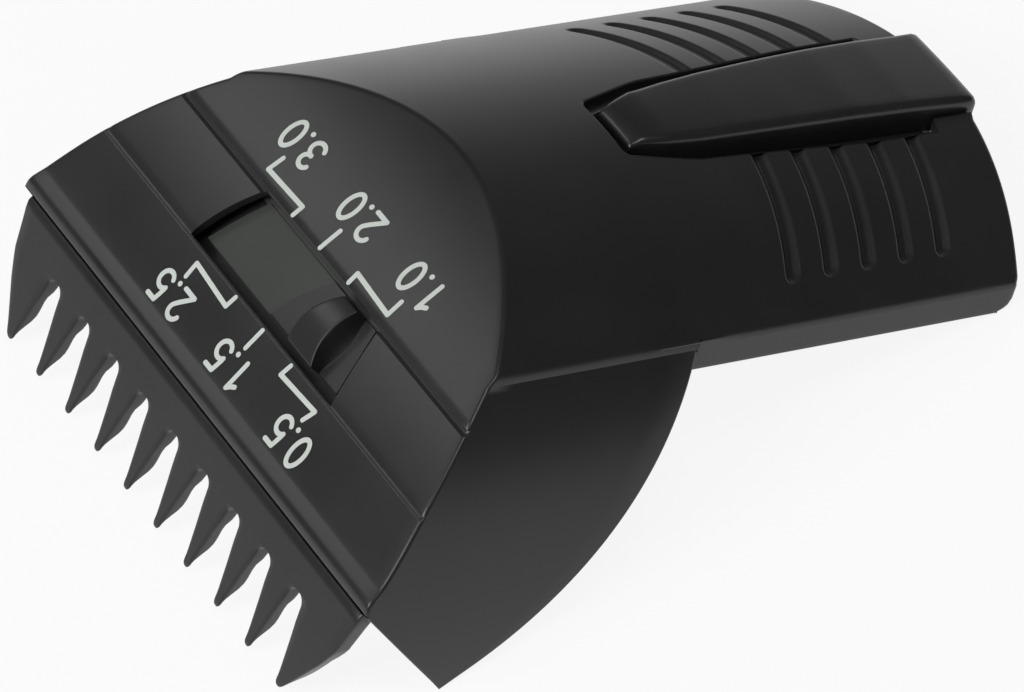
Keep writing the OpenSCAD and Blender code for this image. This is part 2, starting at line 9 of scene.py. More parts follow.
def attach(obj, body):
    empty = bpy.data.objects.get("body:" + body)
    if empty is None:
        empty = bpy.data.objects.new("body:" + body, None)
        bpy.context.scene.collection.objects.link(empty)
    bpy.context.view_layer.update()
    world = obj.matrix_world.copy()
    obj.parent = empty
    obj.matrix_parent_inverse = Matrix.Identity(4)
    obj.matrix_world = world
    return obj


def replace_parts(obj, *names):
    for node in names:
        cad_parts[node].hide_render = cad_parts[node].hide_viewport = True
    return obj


join, steps = np.concatenate, np.linspace

bl_info = {
    "name": "Adjustable clipper comb",
    "version": (1, 0, 0),
    "blender": (4, 5, 0),
    "location": "View3D > Sidebar > Clipper comb",
    "description": "Dresses the adjustable comb attachment and its studio stage",
    "category": "Add Mesh",
}

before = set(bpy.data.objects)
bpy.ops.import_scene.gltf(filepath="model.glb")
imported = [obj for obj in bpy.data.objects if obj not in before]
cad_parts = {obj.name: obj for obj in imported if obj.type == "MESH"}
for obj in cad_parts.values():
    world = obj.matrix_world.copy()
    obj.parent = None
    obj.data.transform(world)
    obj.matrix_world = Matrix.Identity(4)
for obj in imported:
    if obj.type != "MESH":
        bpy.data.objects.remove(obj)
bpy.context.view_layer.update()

# The clip is drawn in its own axes, in millimetres: x across, y from the lip to
# the rear along the sleeve, z up from the lip. It then leans into its resting
# place and is written in metres.
MM = 0.001
LEAN = math.radians(20.71743)
REST_BACK = 23.569963
REST_UP = 7.631619

# Face, dome and cheeks
LIP_HALF = 20.0
CROWN_Y, CROWN_Z = 14.1, 15.15
FACE_R = 48.0
DOME_R = 27.0
CHEEK_R, CHEEK_DROP = 26.1, 6.42
CHEEK_TAN = math.tan(math.radians(44.5))
TOE_Z = -5.892
ARC_R, ARC_Y, ARC_Z = 45.7, -16.55, 33.86
WALL = 1.4
EDGE_R = 0.2

# Sleeve
SLEEVE_HALF = 14.5
INNER_HALF = SLEEVE_HALF - WALL
STRIP_Z = 8.8
RIM_Z, RIM_IN = 10.45, 0.22
INNER_RIM_Z = 10.1
KNEE_Z = 10.9
REAR_Y, REAR_TAN = 48.5, math.tan(math.radians(33))
SIDE_Y, MEET_Y = 20.0, 22.93
SLOT_Y = 24.1
GRIPS = [32.7 + 2.7 * i for i in range(5)]
GRIP_DEEP = 0.28

# Grooves across the face, and the slider's pocket under the band between them
GROOVE_LOW, GROOVE_HIGH = 5.0, 8.65
GROOVE_DEEP = ((GROOVE_LOW, 0.06), (GROOVE_HIGH, 0.14))
POCKET_ROOF, POCKET_BASE, POCKET_PAST = -0.54, -1.44, 0.57

# Thumb piece and slider plate, in the band's axes
THUMB_LOW, THUMB_HIGH = 0.44, 4.51
PLATE_H = -0.88

# Comb
TEETH, PITCH = 10, 3.54
COMB_LEAN = math.radians(10.8)
COMB_EDGE_R = 0.14
ROOT_Z, ROOT_R = -3.41, 0.71
END_LINE = np.array([[-0.35, 19.35], [-0.8, 19.38], [-1.5, 19.2], [-2.3, 19.02], [-3.5, 18.75], [-4.95, 18.05],
                     [-6.2, 17.3], [-7.4, 16.58], [-8.05, 16.16]])

# Finishes and print
SPEC = 0.5
STROKE = 0.152
NUMERAL = 0.885

_rise = math.atan2(CROWN_Z, CROWN_Y)
_half = math.hypot(CROWN_Y, CROWN_Z) / 2
_sink = math.sqrt(FACE_R ** 2 - _half ** 2)
FACE_CY = CROWN_Y / 2 + _sink * math.sin(_rise)
FACE_CZ = CROWN_Z / 2 - _sink * math.cos(_rise)
CHEEK_CX = LIP_HALF - math.sqrt(CHEEK_R ** 2 - CHEEK_DROP ** 2)
DOME_CZ = CROWN_Z - DOME_R


def sheet(x, y, z):
    """Points (x, y, z) from three arrays, each stretched to the shape that they share."""
    return np.stack(np.broadcast_arrays(x, y, z), -1)


def placed(points):
    """Leans points (x, y, z) in mm about the x axis into the resting place and scales them to metres."""
    p = np.asarray(points, float)
    y = p[..., 1] * math.cos(LEAN) + p[..., 2] * math.sin(LEAN) - REST_BACK
    z = p[..., 2] * math.cos(LEAN) - p[..., 1] * math.sin(LEAN) + REST_UP
    return np.stack([p[..., 0], y, z], -1) * MM


def face_y(z, inset=0.0):
    """The face is an arc of a circle about (FACE_CY, FACE_CZ): y at height z."""
    return FACE_CY - np.sqrt((FACE_R - inset) ** 2 - (z - FACE_CZ) ** 2)


def face_z_to(y):
    """Height on the face's arc at y: the inverse of face_y."""
    return FACE_CZ + math.sqrt(FACE_R ** 2 - (FACE_CY - y) ** 2)


def cheek_x(z, inset=0.0):
    """Each cheek is an arc of a circle in the section across the part: half width at height z."""
    return CHEEK_CX + np.sqrt((CHEEK_R - inset) ** 2 - (z + CHEEK_DROP) ** 2)


def dome_z(x, inset=0.0):
    """The back is an arc of a circle in the section across the part: height at x."""
    return DOME_CZ + np.sqrt((DOME_R - inset) ** 2 - np.asarray(x, float) ** 2)


def arc_y(z, inset=0.0):
    """The cheeks' rear edge is an arc of a circle in the side view: y at height z."""
    return ARC_Y + np.sqrt((ARC_R - inset) ** 2 - (z - ARC_Z) ** 2)


def end_y(z):
    """The sleeve's rear edge in the side view: a rounded lower corner, a short upright, then a forward lean."""
    knee = REAR_Y - (CROWN_Z - KNEE_Z) * REAR_TAN
    heights = [STRIP_Z, STRIP_Z + 0.15, STRIP_Z + 0.3, STRIP_Z + 0.55, STRIP_Z + 0.9, KNEE_Z, CROWN_Z + 1]
    ends = [knee - 0.94, knee - 0.92, knee - 0.55, knee - 0.2, knee, knee, REAR_Y + REAR_TAN]
    return np.interp(z, heights, ends)


def ease(t):
    """Smooth step from 0 to 1: 3t^2 - 2t^3, held outside 0..1."""
    t = np.clip(t, 0.0, 1.0)
    return t * t * (3 - 2 * t)


def bend(a, b, c, n):
    """Quadratic curve from a by control b to c: (1-t)^2 a + 2t(1-t) b + t^2 c, n steps, along a new first axis."""
    t = steps(0, 1, n + 1).reshape((-1,) + (1,) * np.ndim(a))
    return (1 - t) ** 2 * a + 2 * t * (1 - t) * b + t ** 2 * c


def unit(v):
    """A vector divided by its length."""
    return v / np.maximum(np.linalg.norm(v, axis=-1, keepdims=True), 1e-9)


def linked(name, data):
    """A new object in the scene."""
    o = bpy.data.objects.new(name, data)
    bpy.context.scene.collection.objects.link(o)
    return o


class Surface:
    """Grids of points in the clip's axes, gathered into one mesh."""

    def __init__(self, *builders):
        self.points, self.quads, self.count = [], [], 0
        for build in builders:
            build(self)

    def grid(self, points, out, keep=None):
        """Adds a rows x columns grid. out is the outward direction, one vector or one for each point,
        and turns the faces so that the sum of normal . out is positive. keep masks the cells."""
        p = np.asarray(points, float)
        rows, cols = p.shape[:2]
        i = np.arange(rows * cols).reshape(rows, cols)
        q = np.stack([i[:-1, :-1], i[:-1, 1:], i[1:, 1:], i[1:, :-1]], -1)
        q = q.reshape(-1, 4) if keep is None else q[keep]
        flat = p.reshape(-1, 3)
        normal = np.cross(flat[q[:, 2]] - flat[q[:, 0]], flat[q[:, 3]] - flat[q[:, 1]])
        away = np.broadcast_to(np.asarray(out, float), p.shape).reshape(-1, 3)[q].mean(1)
        if (normal * away).sum() < 0:
            q = q[:, ::-1]
        self.points.append(flat)
        self.quads.append(q + self.count)
        self.count += rows * cols

    def both(self, points, out, keep=None):
        """The grid and its mirror image across x = 0."""
        self.grid(points, out, keep)
        flip = np.array([-1.0, 1.0, 1.0])
        self.grid(np.asarray(points) * flip, np.asarray(out) * flip, keep)

    def edge(self, outer, inner, pull_outer, pull_inner, out, r):
        """A wall's edge between two lines, and its mirror image: a rounding at each side and a flat between.
        Each rounding is a quadratic curve about its line, from r along pull to r towards the other line."""
        r = np.broadcast_to(np.asarray(r, float), outer.shape[:1])[:, None]
        across = unit(inner - outer)
        a = bend(outer + r * pull_outer, outer, outer + r * across, 4)
        b = bend(inner - r * across, inner, inner + r * pull_inner, 4)
        self.both(join([a, b]), out)

    def block(self, lo, hi, r=0.08):
        """A box with chamfered edges: rings of an octagon outline, drawn in by r at both ends."""
        lo, hi = np.asarray(lo, float), np.asarray(hi, float)
        mid = (lo + hi) / 2

        def ring(z, d):
            (x0, y0), (x1, y1) = lo[:2] + d, hi[:2] - d
            return np.array([[x0 + r, y0, z], [x1 - r, y0, z], [x1, y0 + r, z], [x1, y1 - r, z], [x1 - r, y1, z],
                             [x0 + r, y1, z], [x0, y1 - r, z], [x0, y0 + r, z], [x0 + r, y0, z]])
        foot, head = ring(lo[2], r), ring(hi[2], r)
        shut = [(end - mid) * [1e-3, 1e-3, 1.0] + mid for end in (foot, head)]
        rings = np.array([shut[0], foot, ring(lo[2] + r, 0), ring(hi[2] - r, 0), head, shut[1]])
        self.grid(rings, rings - mid)

    def piece(self, name, material, body, angle=32.0, welded=2e-6):
        """Welds the grids, shades them smooth up to an angle and makes the object that rides on a body."""
        mesh = bpy.data.meshes.new(name)
        mesh.from_pydata(placed(join(self.points)), [], join(self.quads))
        work = bmesh.new()
        work.from_mesh(mesh)
        bmesh.ops.remove_doubles(work, verts=work.verts, dist=welded)
        bmesh.ops.dissolve_degenerate(work, dist=1e-7, edges=work.edges)
        work.to_mesh(mesh)
        work.free()
        mesh.shade_smooth()
        mesh.set_sharp_from_angle(angle=math.radians(angle))
        mesh.materials.append(material)
        o = linked(name, mesh)
        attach(o, body)
        return o


# ---- finishes

def add(tree, kind, inputs=(), **settings):
    """A new shader node: settings are its options, inputs gives each socket a value or the output that feeds it."""
    node = tree.nodes.new("ShaderNode" + kind)
    for name, value in settings.items():
        setattr(node, name, value)
    for key, value in dict(inputs).items():
        if isinstance(value, bpy.types.NodeSocket):
            tree.links.new(value, node.inputs[key])
        else:
            node.inputs[key].default_value = value
    return node


def maths(tree, operation, *values):
    """The result of a new Math node on the values."""
    return add(tree, "Math", dict(enumerate(values)), operation=operation).outputs[0]


def empty_tree(owner):
    """The node tree of a new material or world, emptied."""
    owner.use_nodes = True
    owner.node_tree.nodes.clear()
    return owner.node_tree


def moulded_group():
    """Moulded plastic: Height is a fine grain, Gloss a slow wander of roughness, Tone a slow wander of brightness.
    Each wander is middle + amount x (noise - 0.5)."""
    name = "moulded_plastic"
    if name in bpy.data.node_groups:
        return bpy.data.node_groups[name]
    g = bpy.data.node_groups.new(name, "ShaderNodeTree")
    socket = g.interface.new_socket
    socket(name="Vector", in_out="INPUT", socket_type="NodeSocketVector")
    for label, default in (("Grain Scale", 9000), ("Drift Scale", 140), ("Roughness", 0.4), ("Roughness Drift", 0.08),
                           ("Tone Drift", 0.2)):
        socket(name=label, in_out="INPUT", socket_type="NodeSocketFloat").default_value = default
    for label in ("Height", "Gloss", "Tone"):
        socket(name=label, in_out="OUTPUT", socket_type="NodeSocketFloat")
    start, stop = g.nodes.new("NodeGroupInput").outputs, g.nodes.new("NodeGroupOutput").inputs
    grain = add(g, "TexNoise", {"Vector": start["Vector"], "Scale": start["Grain Scale"],
                                "Detail": 3, "Roughness": 0.6})
    drift = add(g, "TexNoise", {"Vector": start["Vector"], "Scale": start["Drift Scale"], "Detail": 4})
    g.links.new(grain.outputs["Fac"], stop["Height"])
    for amount, middle, target in (("Roughness Drift", start["Roughness"], "Gloss"), ("Tone Drift", 0.5, "Tone")):
        centred = maths(g, "SUBTRACT", drift.outputs["Fac"], 0.5)
        g.links.new(maths(g, "MULTIPLY_ADD", centred, start[amount], middle), stop[target])
    return g


def finish_material(name, colour, spread, rough, drift=0.08, grain=9000, bump=0.2, depth=0.00001, spec=SPEC, metal=0.0):
    """A surface whose colour wanders by the share spread to both sides, with grained bump and drifting roughness."""
    m = bpy.data.materials.new(name)
    nt = empty_tree(m)
    low, high = ((*(c * share for c in colour[:3]), 1) for share in (1 - spread, 1 + spread))
    place = add(nt, "TexCoord")
    plastic = add(nt, "Group", {"Vector": place.outputs["Object"], "Grain Scale": grain, "Roughness": rough,
                                "Roughness Drift": drift, "Tone Drift": 1.6}, node_tree=moulded_group())
    tone = add(nt, "Mix", {"Factor": plastic.outputs["Tone"], "A": low, "B": high}, data_type="RGBA")
    relief = add(nt, "Bump", {"Strength": bump, "Distance": depth, "Height": plastic.outputs["Height"]})
    bsdf = add(nt, "BsdfPrincipled", {"Base Color": tone.outputs["Result"], "Roughness": plastic.outputs["Gloss"],
                                      "Normal": relief.outputs["Normal"], "Metallic": metal,
                                      "Specular IOR Level": spec})
    add(nt, "OutputMaterial", {0: bsdf.outputs[0]})
    return m


# ---- housing

def outline_table():
    """The outer section from below the lip to the crown: cheek arc, a soft rim at the sleeve's width, dome arc."""
    low = steps(-6, RIM_Z, 200)
    rim_x = SLEEVE_HALF - RIM_IN
    rim = bend(np.array([cheek_x(RIM_Z), RIM_Z]), np.array([SLEEVE_HALF + 0.02, 10.86]),
               np.array([rim_x, dome_z(rim_x)]), 8)[1:-1]
    phi = steps(math.asin(rim_x / DOME_R), 0, 400)
    x = join([cheek_x(low), rim[:, 0], DOME_R * np.sin(phi)])
    z = join([low, rim[:, 1], DOME_CZ + DOME_R * np.cos(phi)])
    return x, z


OUT_X, OUT_Z = outline_table()


def outline_x(z):
    """Half width of the outer section at height z, read from its table."""
    return np.interp(z, OUT_Z, OUT_X)


def inner_x(z):
    """Half width of the inner section at height z: cheek arc, then dome arc, each a wall's thickness in."""
    z = np.asarray(z, float)
    dome = np.sqrt(np.maximum((DOME_R - WALL) ** 2 - (z - DOME_CZ) ** 2, 0))
    return np.minimum(cheek_x(np.minimum(z, 12), WALL), dome)


def profile_table():
    """The face's side view from the lip's foot to the crown: upright lip, broad roll, shallow hollow, long arc.
    Gives y, z, the outward normal's y and z, the length run so far, and how many rows the lip and hollow have."""
    arc_start = 2.2
    lip = join([[[0.12, 0.0], [0.035, 0.03], [0.0, 0.1], [0.0, 0.2]],
                bend(*np.array([(0.0, 0.3), (0.0, 0.68), (0.2, 0.89)]), 8),
                bend(*np.array([(0.2, 0.89), (0.45, 1.148), (0.72, 1.4)]), 6)[1:],
                bend(*np.array([(0.72, 1.4), (0.904, 1.571), (arc_start, face_z_to(arc_start))]), 14)[1:]])
    z = steps(face_z_to(arc_start), CROWN_Z, 500)[1:]
    p = join([lip, np.stack([face_y(z), z], -1)])
    t = unit(np.gradient(p, axis=0))
    run = join([[0], np.cumsum(np.linalg.norm(np.diff(p, axis=0), axis=1))])
    return p[:, 0], p[:, 1], -t[:, 1], t[:, 0], run, len(lip)


FACE_Y, FACE_Z, FACE_NY, FACE_NZ, FACE_RUN, LIP_ROWS = profile_table()


def run_of(z):
    """Length along the profile at height z."""
    return np.interp(z, FACE_Z, FACE_RUN)


def on_face(x, run, lift=0.0):
    """The point of the face at x and run, raised by lift along its normal."""
    y, z, ny, nz = (np.interp(run, FACE_RUN, column) for column in (FACE_Y, FACE_Z, FACE_NY, FACE_NZ))
    return sheet(x, y + lift * ny, z + lift * nz)


def groove_dip(run):
    """Depth of the two face grooves: a soft notch, full at its centre and nothing 0.27 away, eased between."""
    dip = np.zeros_like(run)
    for z, deep in GROOVE_DEEP:
        dip = np.maximum(dip, deep * ease((0.27 - np.abs(run - run_of(z))) / 0.25))
    return dip


BAND_Y = face_y(GROOVE_LOW)
BAND_A = math.atan2(GROOVE_HIGH - GROOVE_LOW, face_y(GROOVE_HIGH) - BAND_Y)
BAND_W = math.hypot(GROOVE_HIGH - GROOVE_LOW, face_y(GROOVE_HIGH) - BAND_Y)
BAND_UP = np.array([0, math.cos(BAND_A), math.sin(BAND_A)])
BAND_OUT = np.array([0, -math.sin(BAND_A), math.cos(BAND_A)])


def on_band(x, b, h):
    """A point of the flat band between the grooves: across x, up the band b, proud of it h."""
    b, h = np.asarray(b, float), np.asarray(h, float)
    return sheet(x, BAND_Y + b * BAND_UP[1] + h * BAND_OUT[1], GROOVE_LOW + b * BAND_UP[2] + h * BAND_OUT[2])


def window_edges(run):
    """The window's ends: straight at the right, bowed outwards at the left, drawn on past the band."""
    t = (run - run_of(GROOVE_LOW)) / (run_of(GROOVE_HIGH) - run_of(GROOVE_LOW))
    bow = 0.25 * 4 * np.clip(t, 0, 1) * (1 - np.clip(t, 0, 1))
    return -(8.06 - 1.57 * t) - bow, 8.0 - 1.52 * t


def build_face(s):
    """The face: rows along the profile, columns across, a window left open between the grooves,
    rounded side edges, the window's walls and the roof of the slider's pocket."""
    side = np.array([0.09, 0.12, 0.15, 0.185, 0.22, 0.25, 0.28])
    near = join([-side[::-1], [0.0], side])
    g_low, g_high = run_of(GROOVE_LOW), run_of(GROOVE_HIGH)
    first = FACE_RUN[:LIP_ROWS]
    rim_top = OUT_Z[OUT_X > SLEEVE_HALF - RIM_IN - 0.01].max()
    phi = steps(math.acos((rim_top - DOME_CZ) / DOME_R), 0, 44)
    rows = join([
        first, steps(first[-1], g_low - 0.32, 10)[1:], g_low + near, steps(g_low + 0.32, g_high - 0.32, 12),
        g_high + near, steps(g_high + 0.32, run_of(10.3), 5), run_of(steps(10.4, rim_top, 9)),
        run_of(DOME_CZ + DOME_R * np.cos(phi))[1:]])
    half = outline_x(np.interp(rows, FACE_RUN, FACE_Z))
    slope = np.gradient(half, rows)
    slope[-1] = -1e3
    slope *= ease((rows - 0.8) / 2)
    lean = np.sqrt(1 + slope ** 2)
    row_in = rows + EDGE_R * slope / lean
    half_in = np.maximum(half - EDGE_R / lean, 0)
    half_in[-1] = 0
    dip = groove_dip(row_in)
    left, right = window_edges(row_in)
    left = np.maximum(left, -0.6 * half_in)[:, None]
    right = np.minimum(right, 0.6 * half_in)[:, None]
    t = steps(0, 1, 13)
    m = steps(0, 1, 21)
    x = join([-half_in[:, None] + (left + half_in[:, None]) * t[:-1], left + (right - left) * m,
              right + (half_in[:, None] - right) * t[1:]], 1)
    p = on_face(x, row_in[:, None], -dip[:, None])
    i0, i1 = np.argmin(abs(row_in - g_low)) - 1, np.argmin(abs(row_in - g_high)) + 1
    keep = np.ones((len(rows) - 1, x.shape[1] - 1), bool)
    keep[i0:i1, 12:32] = False
    s.grid(p, BAND_OUT, keep)
    corner = on_face(half, rows, -dip)
    outer = on_face(half, rows) + np.array([0, EDGE_R, 0])
    s.both(bend(p[:, -1], corner, outer, 4), [0.4, -0.6, 0.5])
    # the window's loop, its walls, the pocket's roof and the pocket's walls
    loop = join([p[i0:i1 + 1, 12], p[i1, 13:33], p[i0:i1, 32][::-1], p[i0, 12:32][::-1]])
    fx = join([-np.ones(i1 - i0 + 1), steps(-1, 1, 21)[1:], np.ones(i1 - i0), steps(1, -1, 21)[1:]])
    b = (loop[:, 1] - BAND_Y) * BAND_UP[1] + (loop[:, 2] - GROOVE_LOW) * BAND_UP[2]
    fb = np.clip(b / BAND_W, 0, 1)
    fb[i1 - i0:i1 - i0 + 21] = 1
    fb[-20:] = 0
    centre = on_band(0, BAND_W / 2, 0)
    roof = on_band(loop[:, 0], np.clip(b, -0.12, BAND_W + 0.12), POCKET_ROOF)
    reach = 16.47 - 1.40 * fb
    track, base = (on_band(fx * reach, fb * (BAND_W + 2 * POCKET_PAST) - POCKET_PAST, h)
                   for h in (POCKET_ROOF, POCKET_BASE))
    s.grid(np.array([loop, loop - BAND_OUT * 0.03, roof]), centre - np.array([loop, loop, loop]))
    s.grid(np.array([roof, track]), -BAND_OUT)
    s.grid(np.array([track, base]), centre - np.array([track, base]))
    # underside of the lip and the inner face
    width = steps(-1, 1, 9) * cheek_x(0, WALL)
    s.grid(np.array([sheet(width, 0.12, 0.0), sheet(width, face_y(0.0, WALL), 0.0)]), [0, 0, -1])
    b_low = on_band(0, -POCKET_PAST, POCKET_BASE)[2]
    b_high = on_band(0, BAND_W + POCKET_PAST, POCKET_BASE)[2]
    phi = steps(math.asin(INNER_HALF / (DOME_R - WALL)), 0, 30)[1:]
    z = join([steps(0, b_low, 7), steps(b_low, b_high, 9)[1:],
              steps(b_high, INNER_RIM_Z, 4)[1:], DOME_CZ + (DOME_R - WALL) * np.cos(phi)])
    top = CROWN_Z - WALL
    z = np.append(z[face_y(z, WALL) < face_y(top, WALL) - 1e-4], top)[:, None]
    keep = np.ones((len(z) - 1, 24), bool)
    keep[6:14] = False
    s.grid(sheet(inner_x(z) * steps(-1, 1, 25), face_y(z, WALL), z), -BAND_OUT, keep)


def build_cheeks(s):
    """The cheeks: outer and inner skins run straight back from the face's line to the rear arc, with rounded edges.
    Towards the toe at TOE_Z the roundings shrink to nothing."""
    z = join([steps(TOE_Z, 0, 16), steps(0, RIM_Z, 34)[1:]])
    slope_y = -z / CHEEK_TAN
    face_line = np.interp(run_of(z), FACE_RUN, FACE_Y)
    front = np.where(z < 0, slope_y, np.where(z == 0, 0, face_line))
    rear = arc_y(z)
    r = EDGE_R * np.clip((z - TOE_Z) / 0.6, 0.02, 1)
    t = steps(0, 1, 9)[:, None]
    a, b = front + np.where(z < 0, r, EDGE_R), rear - r
    s.both(sheet(cheek_x(z), a + (b - a) * t, z), [1, 0, 0.3])
    # the rim between cheek and dome, in front of the sleeve
    zr = OUT_Z[(OUT_Z >= RIM_Z) & (OUT_X > SLEEVE_HALF - RIM_IN - 0.005)]
    a, b = face_y(zr) + EDGE_R, np.minimum(arc_y(zr), MEET_Y)
    s.both(sheet(outline_x(zr), a + (b - a) * t, zr), [1, 0, 1])
    # front edge below the lip
    low = z <= 0
    back = np.array([0, 1.0, 0])
    outer, inner = sheet(cheek_x(z), slope_y, z), sheet(cheek_x(z, WALL), slope_y, z)
    s.edge(outer[low], inner[low], back, back, [0, -1, -1], r[low])
    # rear edge
    inner = sheet(np.where(z < STRIP_Z, cheek_x(z, WALL), SLEEVE_HALF - 0.05), rear, z)
    s.edge(sheet(cheek_x(z), rear, z), inner, -back, -back, [0, 1, -0.5], r)
    # inner skin, open to the rear below the sleeve
    z = join([steps(TOE_Z, 0, 14), steps(0, STRIP_Z, 22)[1:]])
    r = EDGE_R * np.clip((z - TOE_Z) / 0.6, 0.02, 1)
    front = np.where(z < 0, -z / CHEEK_TAN + r, face_y(np.maximum(z, 0), WALL))
    rear = arc_y(z) - r
    keep = np.ones((len(t) - 1, len(z) - 1), bool)
    keep[0, (z[:-1] > 4.0)] = False
    s.both(sheet(cheek_x(z, WALL), front + (rear - front) * t, z), [-1, 0, -0.3], keep)
    # inner skin behind the sleeve's wall, up to the inner dome
    z = steps(STRIP_Z, INNER_RIM_Z, 5)
    front, rear = face_y(z, WALL), arc_y(z, WALL)
    wide = np.maximum(cheek_x(z, WALL), INNER_HALF)
    s.both(sheet(wide, front + (rear - front) * t, z), [-1, 0, 0])
    s.both(np.array([sheet(INNER_HALF, rear, z), sheet(wide, rear, z)]), [0, -1, 0])


def slot_half(y):
    """Half width of the lever's slot along the sleeve."""
    return np.interp(y, [24.6, 28.5, 31.3, 35, 40.3, 45.25, 45.32, 45.55, 45.62, 60],
                     [2.62, 3.7, 3.85, 4.12, 4.53, 4.57, 4.5, 3.66, 3.58, 3.58])


def row_sag(v, x):
    """How far the sleeve's row of base v has bowed forward at x: a rate times x squared, which is 2R times the dome's
    fall. The rate is nothing at the cheeks and full at the grips, and at the rear it follows the lean."""
    rate = 0.0143 * ease((v - MEET_Y) / 7) + (REAR_TAN / (2 * DOME_R) - 0.0143) * ease((v - 44) / 4)
    return rate * 2 * DOME_R * (CROWN_Z - dome_z(x))


def sleeve_rows():
    """The sleeve's rows: for each its base v, the left end (x, y) of the row on the centre line or
    the slot's edge, and the edge's direction into the skin. The slot's front corner takes several rows."""
    corner = [(0.0, SLOT_Y), (0.8, SLOT_Y), (1.5, SLOT_Y), (2.0, SLOT_Y),
              (2.25, 24.13), (2.42, 24.2), (2.54, 24.33), (2.6, 24.48)]
    v_mid = [MEET_Y, 23.4, 23.85]
    side = np.array([0.08, 0.18, 0.27, 0.35, 0.43, 0.5, 0.56, 0.63, 0.72])
    grip = np.add.outer(GRIPS, join([-side[::-1], side])).ravel()
    between = [24.8, 25.3, 26, 27, 28, 29, 30, 30.8, 31.5, 44.4, 44.9, 45.2, 45.28, 45.36, 45.44, 45.52, 45.6, 45.68,
               45.8, 46.3, 47, 47.7, REAR_Y]
    v_rest = np.unique(join([grip, between, (np.array(GRIPS)[1:] + np.array(GRIPS)[:-1]) / 2]))
    x = slot_half(v_rest)
    for _ in range(6):
        x = slot_half(v_rest - row_sag(v_rest, x))
    edge = join([corner, np.stack([x, v_rest - row_sag(v_rest, x)], -1)])
    t = unit(np.gradient(edge, axis=0))
    n = np.stack([np.abs(t[:, 1]), -t[:, 0]], -1)
    n[0] = (0, -1)
    v = join([v_mid, steps(SLOT_Y, 24.55, len(corner)), v_rest])
    line = join([[(0.0, q) for q in v_mid], edge])
    return v, line, join([np.zeros((len(v_mid), 2)), n]), len(v_mid)


def sleeve_skin(v, line, side, columns, inset=0.0):
    """Rows across the dome from line to side: x runs linearly, y is v less the row's sag, eased to the line's own y,
    and z lies on the dome."""
    x = line[:, :1] + (side - line[:, :1]) * columns
    base = v - row_sag(v, line[:, 0])
    y = v[:, None] - row_sag(v[:, None], x) + (line[:, 1] - base)[:, None] * (1 - columns) ** 4
    return sheet(x, y, dome_z(x, inset))


def grip_depth(v, x):
    """Depth of the grip grooves: full along a soft rounded-end stroke about each groove's centre line, which runs
    from the slot to |x| = 12.4, and eased to nothing 0.62 from it; the distance is taken in v and x."""
    depth = np.zeros_like(x)
    for g in GRIPS:
        d = np.hypot(v[:, None] - g, np.maximum(x - 11.9, 0))
        depth = np.maximum(depth, GRIP_DEEP * ease((0.62 - d) / 0.5))
    return depth


